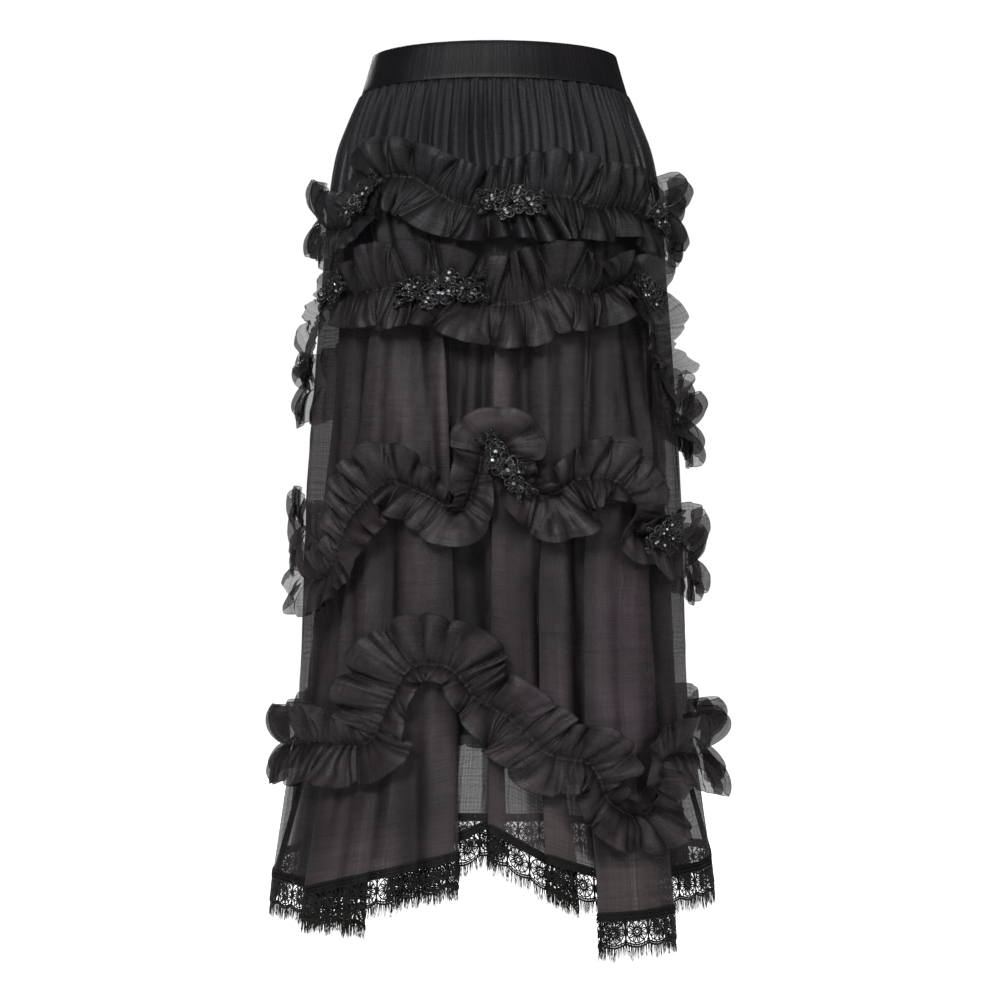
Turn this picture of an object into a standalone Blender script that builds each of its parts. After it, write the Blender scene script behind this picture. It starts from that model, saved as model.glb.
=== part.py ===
# A tiered skirt, filled out as when it is worn: a firm waistband, a sheer overskirt
# gathered into it, a shorter lining, four ruffles gathered on their centre lines,
# a lace border with an eyelash fringe at the hem, and corded flowers on the ruffles.
# Metres, +Z up. The origin is at the middle of the waistband, and the front faces -Y.
# A turn is an angle round the skirt in degrees: 0 is the front, 90 the side at +X.
from collections import namedtuple

import bmesh
import bpy
import numpy as np
from mathutils import Vector
from mathutils.bvhtree import BVHTree

BAND_HEIGHT = 0.040
BAND_WALL = 0.003
BAND_EDGE_SLANT = 0.0004
CLOTH_WALL = 0.001
LACE_WALL = 0.0014
FLOWER_WALL = 0.0026
SEAM_GAP = 0.0003
SIDE_SEAM_TURN = 90.0
SIDE_SEAM_HALF_GAP = 0.05
BAND_SEAM_HALF_GAP = 0.07
RUFFLE_SEAM_HALF_GAP = 0.10
HEM_LEVEL = 0.815
LACE_DROP = 0.034
SCALLOP_DEPTH = 0.004
LACE_HOLE = 0.0035
LEAST_HOLE_PITCH = 0.009
STRIP_DROP = 0.0016
FRINGE_DROP = 0.013
COLUMN_WIDTH = 0.0175
RETURN_COLUMN_WIDTH = 0.036
COLUMNS_IN_A_GATHER = 3
TROUGH_LIFT = 0.18
TROUGH_WIDTH = 0.90
FRILL_WALL_CLEARANCE = 0.0009
ROLL_RADIUS = 0.190

Section = namedtuple("Section", "drop half_width half_depth")
Gather = namedtuple("Gather", "drop depth")
Lap = namedtuple(
    "Lap", "side edge_top edge_hem overlap under over start hem_under hem_over"
)
Flute = namedtuple("Flute", "turn_top turn_hem width height start")
Bend = namedtuple("Bend", "turn drop above below lift", defaults=[0.018])
Flower = namedtuple("Flower", "turn drop width height tilt clear", defaults=[0.0010])

BAND_SECTIONS = [
    Section(-0.0200, 0.1265, 0.0945),
    Section(0.0000, 0.1320, 0.0990),
    Section(0.0200, 0.1380, 0.1040),
]
SKIRT_SECTIONS = [
    Section(0.0203, 0.1396, 0.1056),
    Section(0.0545, 0.1520, 0.1165),
    Section(0.0755, 0.1600, 0.1235),
    Section(0.1280, 0.1720, 0.1350),
    Section(0.2330, 0.1820, 0.1470),
    Section(0.3380, 0.1900, 0.1560),
    Section(0.4430, 0.1960, 0.1630),
    Section(0.5500, 0.1990, 0.1680),
    Section(0.6530, 0.2030, 0.1730),
    Section(0.7580, 0.2160, 0.1820),
    Section(0.8500, 0.2240, 0.1900),
    Section(0.9000, 0.2260, 0.1920),
]
LINING_SECTIONS = [
    Section(0.0203, 0.1368, 0.1028),
    Section(0.0700, 0.1460, 0.1110),
    Section(0.1600, 0.1560, 0.1200),
    Section(0.3600, 0.1690, 0.1310),
    Section(0.4600, 0.1800, 0.1400),
    Section(0.6740, 0.1920, 0.1490),
]
SKIRT_ROWS = [0.0203, 0.040, 0.066, 0.110, 0.170, 0.235, 0.330, 0.450, 0.570, 0.690, 0.815]
BACK_SKIRT_ROWS = [0.0203, 0.042, 0.075, 0.130, 0.220, 0.310, 0.400, 0.550, 0.690, 0.815]
HEM_RISE_FROM = 0.450

# How deep the waist's gathers stand, fading down the skirt.
GATHERS = [
    Gather(0.0203, 0.0009),
    Gather(0.0400, 0.0030),
    Gather(0.0660, 0.0042),
    Gather(0.1100, 0.0034),
    Gather(0.1700, 0.0015),
    Gather(0.2350, 0.0000),
    Gather(0.3900, 0.0000),
]

# A lap is a flat fold: the cloth doubles back under its own edge. A "left" lap shows
# its edge on the left with the upper layer to the right of it, and a "right" lap the
# other way. Turns are in degrees, under and over are how far out the two layers lie.
FRONT_LAPS = [
    Lap("left", -38, -52.0, 20, 0.000, 0.012, 0.235, 0.824, 0.827),
    Lap("right", -14, -8.5, 19, -0.010, 0.010, 0.330, 0.795, 0.783),
    Lap("left", 0, -1.7, 5, -0.010, 0.001, 0.330, 0.748, 0.758),
    Lap("left", 13, 12.3, 9, -0.002, 0.009, 0.570, 0.802, 0.786),
    Lap("left", 27, 24.0, 10, 0.005, 0.018, 0.450, 0.812, 0.842),
    Lap("right", 52, 47.0, 11, 0.000, 0.015, 0.450, 0.812, 0.842),
]
BACK_LAPS = [
    Lap("left", 116, 118.0, 10, 0.000, 0.012, 0.400, 0.812, 0.822),
    Lap("right", 152, 154.0, 9, 0.000, 0.012, 0.550, 0.800, 0.806),
    Lap("left", 205, 208.0, 9, 0.000, 0.012, 0.400, 0.800, 0.806),
    Lap("right", 242, 243.0, 10, 0.000, 0.012, 0.400, 0.812, 0.822),
]
RIGHT_SIDE_HEM = 0.807
LEFT_SIDE_HEM = 0.821
# A lap grows out of an upright crease that is this share of its full depth and fades
# out this far above the lap's start.
LAP_TIP = 1.3
LAPS_FORM_FROM = 0.03
CREASE_SHARE = 0.7
CREASE_RUN = 0.20

# Soft rounded ridges that run down the cloth.
FLUTES = [
    Flute(-74, -72, 8, 0.009, 0.20),
    Flute(-26, -31, 14, 0.008, 0.25),
    Flute(40, 36, 9, 0.006, 0.30),
    Flute(66, 69, 8, 0.008, 0.20),
    Flute(107, 106, 6, 0.008, 0.22),
    Flute(133, 136, 10, 0.009, 0.22),
    Flute(166, 167, 6, 0.008, 0.28),
    Flute(192, 193, 6, 0.008, 0.24),
    Flute(222, 226, 10, 0.009, 0.22),
    Flute(254, 255, 6, 0.008, 0.26),
]

# Each ruffle's gather line, a row for each bend, with how wide the frill above and
# the frill below it are there, and how far their crests lift from the cloth. It runs
# round the front and then round the back.
RUFFLE_FRONTS = [
    [
        Bend(-90, 0.143, 0.036, 0.038, 0.022),
        Bend(-59, 0.168, 0.036, 0.030),
        Bend(-48, 0.164, 0.034, 0.030),
        Bend(-37, 0.122, 0.036, 0.036),
        Bend(-27, 0.122, 0.038, 0.040),
        Bend(-15, 0.145, 0.040, 0.038),
        Bend(-5, 0.155, 0.040, 0.036),
        Bend(8, 0.150, 0.040, 0.038),
        Bend(20, 0.142, 0.040, 0.040),
        Bend(33, 0.152, 0.040, 0.034),
        Bend(48, 0.150, 0.040, 0.036),
        Bend(57, 0.160, 0.036, 0.034),
        Bend(67, 0.145, 0.034, 0.040, 0.024),
        Bend(90, 0.150, 0.034, 0.040, 0.030),
    ],
    [
        Bend(-90, 0.330, 0.036, 0.036, 0.020),
        Bend(-76, 0.285, 0.030, 0.034, 0.020),
        Bend(-61, 0.232, 0.016, 0.028),
        Bend(-48, 0.236, 0.034, 0.038),
        Bend(-27, 0.232, 0.038, 0.040),
        Bend(-14, 0.238, 0.040, 0.042),
        Bend(-2, 0.250, 0.040, 0.042),
        Bend(9, 0.248, 0.042, 0.040),
        Bend(21, 0.232, 0.038, 0.038),
        Bend(33, 0.238, 0.036, 0.036),
        Bend(43, 0.226, 0.030, 0.030),
        Bend(52, 0.245, 0.034, 0.024),
        Bend(57, 0.285, 0.036, 0.024),
        Bend(60, 0.325, 0.032, 0.026, 0.022),
        Bend(72, 0.358, 0.028, 0.034, 0.024),
        Bend(90, 0.375, 0.038, 0.038, 0.024),
    ],
    [
        Bend(-90, 0.464, 0.038, 0.038, 0.018),
        Bend(-78, 0.492, 0.038, 0.036),
        Bend(-66, 0.525, 0.036, 0.034),
        Bend(-54, 0.516, 0.020, 0.036),
        Bend(-40, 0.454, 0.032, 0.034),
        Bend(-28, 0.426, 0.036, 0.032),
        Bend(-19, 0.436, 0.024, 0.034),
        Bend(-9, 0.452, 0.010, 0.040),
        Bend(-4, 0.415, 0.026, 0.010),
        Bend(-1, 0.380, 0.040, 0.010),
        Bend(4, 0.382, 0.040, 0.010),
        Bend(6, 0.415, 0.022, 0.012),
        Bend(14, 0.438, 0.014, 0.040),
        Bend(24, 0.422, 0.030, 0.038),
        Bend(33, 0.424, 0.040, 0.024),
        Bend(40, 0.448, 0.038, 0.010),
        Bend(39, 0.475, 0.022, 0.026),
        Bend(48, 0.476, 0.012, 0.040),
        Bend(62, 0.482, 0.034, 0.038),
        Bend(75, 0.496, 0.038, 0.034),
        Bend(90, 0.515, 0.036, 0.038, 0.020),
    ],
    [
        Bend(-90, 0.700, 0.038, 0.040, 0.026),
        Bend(-70, 0.693, 0.038, 0.040, 0.022),
        Bend(-50, 0.684, 0.038, 0.040),
        Bend(-33, 0.678, 0.028, 0.040),
        Bend(-27, 0.640, 0.044, 0.022),
        Bend(-20, 0.604, 0.052, 0.016),
        Bend(-12, 0.606, 0.052, 0.014),
        Bend(-5, 0.634, 0.044, 0.018),
        Bend(5, 0.656, 0.036, 0.040),
        Bend(14, 0.688, 0.034, 0.038),
        Bend(24, 0.700, 0.036, 0.024),
        Bend(29, 0.738, 0.011, 0.030),
        Bend(35, 0.750, 0.011, 0.036),
        Bend(41, 0.735, 0.011, 0.030),
        Bend(46, 0.700, 0.034, 0.024),
        Bend(60, 0.698, 0.038, 0.038, 0.022),
        Bend(75, 0.704, 0.038, 0.040, 0.032),
        Bend(90, 0.700, 0.038, 0.040, 0.036),
    ],
]
RUFFLE_BACKS = [
    [
        Bend(90, 0.150, 0.034, 0.040, 0.030),
        Bend(120, 0.165, 0.034, 0.038),
        Bend(150, 0.142, 0.034, 0.038),
        Bend(180, 0.158, 0.034, 0.038),
        Bend(210, 0.142, 0.034, 0.038),
        Bend(240, 0.160, 0.036, 0.038),
        Bend(270, 0.143, 0.036, 0.038, 0.022),
    ],
    [
        Bend(90, 0.375, 0.038, 0.038, 0.024),
        Bend(115, 0.340, 0.038, 0.038),
        Bend(148, 0.300, 0.038, 0.038),
        Bend(180, 0.318, 0.038, 0.038),
        Bend(212, 0.296, 0.038, 0.038),
        Bend(245, 0.318, 0.038, 0.038),
        Bend(270, 0.330, 0.036, 0.036, 0.020),
    ],
    [
        Bend(90, 0.515, 0.036, 0.038, 0.020),
        Bend(115, 0.508, 0.038, 0.038),
        Bend(148, 0.482, 0.036, 0.036),
        Bend(180, 0.500, 0.038, 0.038),
        Bend(212, 0.476, 0.038, 0.038),
        Bend(245, 0.488, 0.038, 0.038),
        Bend(270, 0.464, 0.038, 0.038),
    ],
    [
        Bend(90, 0.700, 0.038, 0.040, 0.036),
        Bend(118, 0.690, 0.038, 0.040, 0.022),
        Bend(150, 0.668, 0.038, 0.040),
        Bend(180, 0.688, 0.038, 0.040),
        Bend(210, 0.668, 0.038, 0.040),
        Bend(242, 0.690, 0.038, 0.040),
        Bend(270, 0.700, 0.038, 0.040, 0.026),
    ],
]
FRONT_WAVES = 23
BACK_WAVES = 12
ENVELOPE_SPREAD = 7
FLOWER_SPREAD = 2
STRAIGHT_END = 0.030
WIDEST_FOR_BEND = 0.60

FLOWERS = [
    Flower(-42, 0.142, 0.060, 0.030, 50),
    Flower(5, 0.152, 0.066, 0.036, 0),
    Flower(-54, 0.232, 0.044, 0.026, 30),
    Flower(-15, 0.238, 0.082, 0.042, 5),
    Flower(50, 0.236, 0.044, 0.028, -40),
    Flower(3, 0.410, 0.048, 0.028, -62, 0.0017),
    Flower(49, 0.478, 0.056, 0.038, 10, 0.0017),
    Flower(58, 0.160, 0.034, 0.024, -30),
]
FLOWER_PETALS = 8

COLOURS = {
    "waistband": (0.008, 0.008, 0.010),
    "overskirt": (0.030, 0.026, 0.028),
    "lining": (0.006, 0.006, 0.007),
    "ruffle": (0.026, 0.023, 0.026),
    "lace": (0.008, 0.008, 0.008),
    "fringe": (0.012, 0.011, 0.010),
    "flower": (0.010, 0.010, 0.011),
}
ROUGHNESS = 0.7


def through(rows, column, drop):
    """A smooth curve through one column of a table, read at these drops."""
    places = np.array([row.drop for row in rows])
    values = np.array([getattr(row, column) for row in rows])
    return smooth(np.asarray(drop, float), places, values)


def smooth(at, places, values):
    """Cubic through the values, with slopes taken from the neighbours."""
    slopes = np.gradient(values, places)
    i = np.clip(np.searchsorted(places, at) - 1, 0, len(places) - 2)
    step = places[i + 1] - places[i]
    t = np.clip((at - places[i]) / step, 0, 1)
    lead = (2 * t**3 - 3 * t**2 + 1) * values[i] + (3 * t**2 - 2 * t**3) * values[i + 1]
    lean = (t**3 - 2 * t**2 + t) * slopes[i] + (t**3 - t**2) * slopes[i + 1]
    return lead + lean * step


def ease(low, high, at):
    t = np.clip((np.asarray(at, float) - low) / (high - low), 0, 1)
    return t * t * (3 - 2 * t)


def place(turn, drop, out, sections=None):
    """The point at this turn and drop, this far out from the skirt's own oval."""
    rows = sections or SKIRT_SECTIONS
    angle = np.radians(turn)
    wide = through(rows, "half_width", drop) + out
    deep = through(rows, "half_depth", drop) + out
    return np.stack([wide * np.sin(angle), -deep * np.cos(angle), -drop + 0 * wide], -1)


def where_on_skirt(points):
    """The turn, drop and distance out of points, the other way round from place."""
    drop = -points[..., 2]
    wide = through(SKIRT_SECTIONS, "half_width", drop)
    deep = through(SKIRT_SECTIONS, "half_depth", drop)
    out = np.zeros_like(drop)
    for _ in range(4):
        across, along = points[..., 0] / (wide + out), -points[..., 1] / (deep + out)
        out = out + (np.hypot(across, along) - 1) * (wide + out)
    turn = np.degrees(np.arctan2(across, along))
    return turn, drop, out


def lap_stations(lap):
    """The six places where the cloth turns at a lap, from left to right: turn where
    the lap starts, turn at the hem, distance out, the start's drop, the hem's drop."""
    away = 1 if lap.side == "left" else -1
    tip = away * LAP_TIP
    hidden = lap.edge_hem + away * lap.overlap
    rise = lap.over - lap.under
    rows = [
        (hidden - tip, 0.0, lap.hem_under),
        (hidden, 0.15, lap.hem_under),
        (hidden - tip, 0.32, lap.hem_under),
        (lap.edge_hem + tip, 0.68, lap.hem_over),
        (lap.edge_hem, 0.85, lap.hem_over),
        (lap.edge_hem + tip, 1.0, lap.hem_over),
    ]
    rows = rows if away > 0 else rows[::-1]
    return [
        (lap.edge_top, turn, lap.under + share * rise, lap.start, hem) for turn, share, hem in rows
    ]


def columns_of(laps, first, last, first_hem, last_hem):
    """The cloth's columns between two side seams: for each its turn where the laps
    start, its turn at the hem, its distance out, its lap's start and its hem."""
    stations = [(first, first, 0.0, laps[0].start, first_hem)]
    for lap in laps:
        stations += lap_stations(lap)
    stations.append((last, last, 0.0, laps[-1].start, last_hem))
    widths = [
        abs(b[1] - a[1]) * np.radians(1) * ROLL_RADIUS for a, b in zip(stations, stations[1:])
    ]
    counts = [max(1, round(width / COLUMN_WIDTH)) for width in widths]
    for k in range(len(laps)):
        back = 3 + len(lap_stations(laps[k])) * k
        counts[back] = max(1, round(widths[back] / RETURN_COLUMN_WIDTH))
    if sum(counts) % 2:
        counts[int(np.argmax(widths))] += 1
    ends = np.concatenate([[0], np.cumsum(counts)])
    index = np.arange(ends[-1] + 1)
    names = ("upper", "turn", "out", "start", "hem")
    return {name: np.interp(index, ends, values) for name, values in zip(names, zip(*stations))}


def flutes_at(turn, drop):
    """How far the rounded ridges stand out."""
    total = np.zeros(np.broadcast(turn, drop).shape)
    for flute in FLUTES:
        grown = ease(flute.start, HEM_LEVEL, drop)
        centre = flute.turn_top + (flute.turn_hem - flute.turn_top) * grown
        total += flute.height * grown * np.exp(-(((turn - centre) / flute.width) ** 2))
    return total


def cloth_point(columns, drop):
    """The turn, drop and distance out of every column of the overskirt at a level."""
    count = len(columns["turn"])
    even = np.linspace(columns["turn"][0], columns["turn"][-1], count)
    start = columns["start"]
    above = even + (columns["upper"] - even) * ease(LAPS_FORM_FROM, start, drop)
    fold = np.clip((drop - start) / (HEM_LEVEL - start), 0, 1) ** 0.85
    turn = above + (columns["turn"] - above) * fold
    depth = CREASE_SHARE * ease(start - CREASE_RUN, start, drop) + (1 - CREASE_SHARE) * fold
    lower = np.clip((drop - HEM_RISE_FROM) / (HEM_LEVEL - HEM_RISE_FROM), 0, 1)
    level = drop + (columns["hem"] - HEM_LEVEL) * lower
    wave = np.sin(2 * np.pi * (np.arange(count) + 0.5) / COLUMNS_IN_A_GATHER)
    fade = ease(0, 2, np.minimum(np.arange(count), count - 1 - np.arange(count)))
    gather = through(GATHERS, "depth", drop) * wave * fade
    out = columns["out"] * depth + flutes_at(turn, level) + gather
    return turn, level, out


def skirt_grid(columns, rows):
    return np.array([place(*cloth_point(columns, drop)) for drop in rows])


def below_hem(columns, drops):
    """Rows of points that go on straight down from the hem, by these further drops."""
    turn, level, out = cloth_point(columns, HEM_LEVEL)
    return np.array([place(turn, level + drop, out) for drop in drops])


def scallop_rise(columns):
    """How far the lace's lower edge rises between scallops, less where the cloth
    turns sharply and its columns are narrow."""
    edge = below_hem(columns, [0])[0]
    pitch = np.linalg.norm(np.diff(edge, axis=0), axis=1)
    narrower = np.minimum(np.append(pitch, pitch[-1]), np.append(pitch[0], pitch))
    parity = np.arange(len(edge)) % 2
    return SCALLOP_DEPTH * (1 - parity) * np.clip(narrower / COLUMN_WIDTH, 0, 1) ** 2


class Envelope:
    """How far out from the oval the cloth reaches, with its hollows bridged, so that
    what lies on it rests on the ridges."""

    TURNS = 360
    STEP = 0.008
    LEVELS = 114

    def __init__(self, grids, spread):
        reach = np.full((self.LEVELS, self.TURNS), -0.02)
        across, down = np.meshgrid(np.linspace(0, 1, 8), np.linspace(0, 1, 24))
        for grid in grids:
            a, b, c, d = grid[:-1, :-1], grid[:-1, 1:], grid[1:, :-1], grid[1:, 1:]
            for u, v in zip(across.ravel(), down.ravel()):
                points = (a * (1 - u) + b * u) * (1 - v) + (c * (1 - u) + d * u) * v
                turn, drop, out = where_on_skirt(points)
                rows = np.clip((drop / self.STEP).astype(int), 0, self.LEVELS - 1)
                np.maximum.at(reach, (rows, turn.astype(int) % self.TURNS), out)
        turns = range(-spread, spread + 1)
        reach = np.max([np.roll(reach, k, 1) for k in turns], 0)
        reach = np.max([np.roll(reach, k, 0) for k in (-1, 0, 1)], 0)
        reach = np.mean([np.roll(reach, k, 1) for k in turns], 0)
        self.reach = np.mean([np.roll(reach, k, 0) for k in (-1, 0, 1)], 0)

    def at(self, turn, drop):
        row = np.clip(np.asarray(drop) / self.STEP - 0.5, 0, self.LEVELS - 1.001)
        column = np.asarray(turn) - 0.5
        i, j = np.floor(row).astype(int), np.floor(column).astype(int)
        v, u = row - i, column - j
        left, right = j % self.TURNS, (j + 1) % self.TURNS
        top = self.reach[i, left] * (1 - u) + self.reach[i, right] * u
        low = self.reach[i + 1, left] * (1 - u) + self.reach[i + 1, right] * u
        return top * (1 - v) + low * v


def gather_line(bends, count):
    """Points at even steps along a smooth line through the bends, unrolled flat: the
    distance round, the drop, the two frills' widths and how far their crests lift."""
    rows = np.array(bends, float)
    rows[:, 0] = np.radians(rows[:, 0]) * ROLL_RADIUS
    steps = np.hypot(np.diff(rows[:, 0]), np.diff(rows[:, 1]))
    along = np.concatenate([[0], np.cumsum(steps)])
    fine = np.linspace(0, along[-1], 600)
    line = np.stack([smooth(fine, along, values) for values in rows.T], 1)
    length = np.concatenate([[0], np.cumsum(np.hypot(*np.diff(line[:, :2], axis=0).T))])
    even = np.linspace(0, length[-1], count + 1)
    return np.stack([np.interp(even, length, values) for values in line.T], 1), even


def frill_directions(line, even):
    """The way each frill points away from the gather line, upright at the side seams,
    and how sharply the line bends there."""
    ahead = np.gradient(line[:, :2], axis=0)
    for _ in range(2):
        inner = (ahead[:-2] + 2 * ahead[1:-1] + ahead[2:]) / 4
        ahead = np.concatenate([ahead[:1], inner, ahead[-1:]])
    away = np.stack([ahead[:, 1], -ahead[:, 0]], 1)
    ends = ease(0, STRAIGHT_END, np.minimum(even, even[-1] - even))[:, None]
    away = away / np.linalg.norm(away, axis=1)[:, None] * ends + np.array([0, -1]) * (1 - ends)
    away /= np.linalg.norm(away, axis=1)[:, None]
    angle = np.unwrap(np.arctan2(away[:, 1], away[:, 0]))
    return away, np.gradient(angle, even)


def ruffle_grid(bends, waves, under):
    """A ruffle's middle surface: five rows across, two columns to each wave."""
    line, even = gather_line(bends, 2 * waves)
    away, bend = frill_directions(line, even)
    crest = np.arange(len(even)) % 2
    rows = []
    for share in (-1.0, -0.5, 0.0, 0.5, 1.0):
        width = line[:, 2] if share > 0 else line[:, 3]
        closing = np.maximum(-bend * np.sign(share), 0) if share else 0 * bend
        width = np.minimum(width, WIDEST_FOR_BEND / np.maximum(closing, 1e-6))
        width = width * np.where(crest, 1.0, TROUGH_WIDTH) * share
        turn = np.degrees((line[:, 0] + away[:, 0] * width) / ROLL_RADIUS)
        drop = line[:, 1] + away[:, 1] * width
        lift = line[:, 4] * share**2 * np.where(crest, 1.0, TROUGH_LIFT)
        rest = under.at(turn, drop) + CLOTH_WALL + FRILL_WALL_CLEARANCE
        rows.append(place(turn, drop, rest + lift))
    return np.array(rows)


def grid_mesh(points):
    """A grid primitive whose points are moved to these places, rows from the top."""
    rows, columns = points.shape[:2]
    shape = bmesh.new()
    bmesh.ops.create_grid(shape, x_segments=columns - 1, y_segments=rows - 1, size=0.5)
    for vertex in shape.verts:
        column = round((vertex.co.x + 0.5) * (columns - 1))
        row = round((0.5 - vertex.co.y) * (rows - 1))
        vertex.co = points[row, column]
    return shape


def finish_piece(name, shape, wall, colour, collection):
    """An object with a wall of this thickness, half on each side of the surface."""
    mesh = bpy.data.meshes.new(name)
    shape.to_mesh(mesh)
    shape.free()
    mesh.shade_smooth()
    piece = bpy.data.objects.new(name, mesh)
    collection.objects.link(piece)
    thicken = piece.modifiers.new("Wall", "SOLIDIFY")
    thicken.thickness = wall
    thicken.offset = 0
    thicken.use_even_offset = False
    mesh.materials.append(material_for(colour))
    return piece


def material_for(kind):
    found = bpy.data.materials.get(kind)
    if found:
        return found
    material = bpy.data.materials.new(kind)
    material.use_nodes = True
    shader = material.node_tree.nodes["Principled BSDF"]
    shader.inputs["Base Color"].default_value = (*COLOURS[kind], 1)
    shader.inputs["Roughness"].default_value = ROUGHNESS
    return material


def cut_holes(shape, points):
    """A diamond gap in the middle of every second column, where the lace is wide."""
    pitch = np.linalg.norm(np.diff(points[1], axis=0), axis=1)
    wide = [
        points[1, k]
        for k in range(1, points.shape[1] - 1, 2)
        if min(pitch[k - 1], pitch[k]) > LEAST_HOLE_PITCH
    ]
    centres = np.array(wide)
    chosen = [
        vertex
        for vertex in shape.verts
        if np.abs(centres - np.array(vertex.co)).sum(1).min() < 1e-6
    ]
    cut = bmesh.ops.bevel(
        shape, geom=chosen, offset=LACE_HOLE, segments=1, affect="VERTICES", profile=0.5
    )
    bmesh.ops.delete(shape, geom=cut["faces"], context="FACES")


def add_locks(shape, points):
    """Tapered locks along the strip's lower edge: two to a wide column, else one."""
    lower = points[1]
    columns = points.shape[1]
    by_column = {}
    for vertex in shape.verts:
        k = int(np.abs(lower - np.array(vertex.co)).sum(1).argmin())
        if np.abs(lower[k] - np.array(vertex.co)).sum() < 1e-6:
            by_column[k] = vertex
    for k in range(columns - 1):
        a, b = by_column[k], by_column[k + 1]
        tip = (a.co + b.co) / 2
        lean = (b.co - a.co) * (0.25 if k % 3 else -0.2)
        tip = tip + lean
        tip.z = min(a.co.z, b.co.z) - (FRINGE_DROP - STRIP_DROP) * (1 - 0.15 * (k % 2))
        shape.faces.new([a, b, shape.verts.new(tip)])
    bmesh.ops.recalc_face_normals(shape, faces=shape.faces)


def flower_mesh(flower, under):
    """A flower's plate: petals round a middle, each point on what lies below."""
    shape = bmesh.new()
    bmesh.ops.create_circle(shape, cap_ends=True, segments=2 * FLOWER_PETALS, radius=1)
    bmesh.ops.inset_region(shape, faces=shape.faces, thickness=0.45)
    bmesh.ops.poke(shape, faces=[max(shape.faces, key=lambda face: len(face.verts))])
    tilt = np.radians(flower.tilt)
    for vertex in shape.verts:
        x, y = vertex.co.x, vertex.co.y
        radius = np.hypot(x, y)
        if radius > 0.9:
            petal = np.cos(FLOWER_PETALS * np.arctan2(y, x))
            x, y = x * (0.86 + 0.14 * petal), y * (0.86 + 0.14 * petal)
        x, y = x * flower.width / 2, y * flower.height / 2
        across = x * np.cos(tilt) - y * np.sin(tilt)
        up = x * np.sin(tilt) + y * np.cos(tilt)
        turn = flower.turn + np.degrees(across / ROLL_RADIUS)
        drop = flower.drop - up
        vertex.co = place(turn, drop, under.at(turn, drop))
    bmesh.ops.recalc_face_normals(shape, faces=shape.faces)
    return shape


def cloth_tree(grids):
    """The faces of these grids, for finding where a line meets them."""
    points, faces = [], []
    for grid in grids:
        rows, columns = grid.shape[:2]
        first = len(points) + np.arange(rows * columns).reshape(rows, columns)
        corners = first[:-1, :-1], first[:-1, 1:], first[1:, 1:], first[1:, :-1]
        faces += np.stack(corners, -1).reshape(-1, 4).tolist()
        points += grid.reshape(-1, 3).tolist()
    return BVHTree.FromPolygons(points, faces)


def seat_on(shape, tree, clear):
    """Moves a plate straight in towards the skirt until it just clears the cloth."""
    tested = [
        vertex.co.lerp(face.calc_center_median(), share)
        for face in shape.faces
        for vertex in face.verts
        for share in (0, 0.25, 0.5, 0.75, 1)
    ]
    turn, drop, out = where_on_skirt(np.array(tested))
    starts, ends = place(turn, drop, 0.08), place(turn, drop, -0.03)
    hits = [tree.ray_cast(Vector(a), Vector(b - a))[0] for a, b in zip(starts, ends)]
    gaps = [here - where_on_skirt(np.array(hit))[2] for here, hit in zip(out, hits) if hit]
    sink = min(gaps) - (CLOTH_WALL + FLOWER_WALL) / 2 - clear
    for vertex in shape.verts:
        turn, drop, out = where_on_skirt(np.array(vertex.co))
        vertex.co = place(turn, drop, out - sink)


def oval_grid(sections, first, last, columns, drops, inset=0.0):
    turns = np.linspace(first, last, columns + 1)
    return np.array([place(turns, np.full(columns + 1, drop), -inset, sections) for drop in drops])


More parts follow.
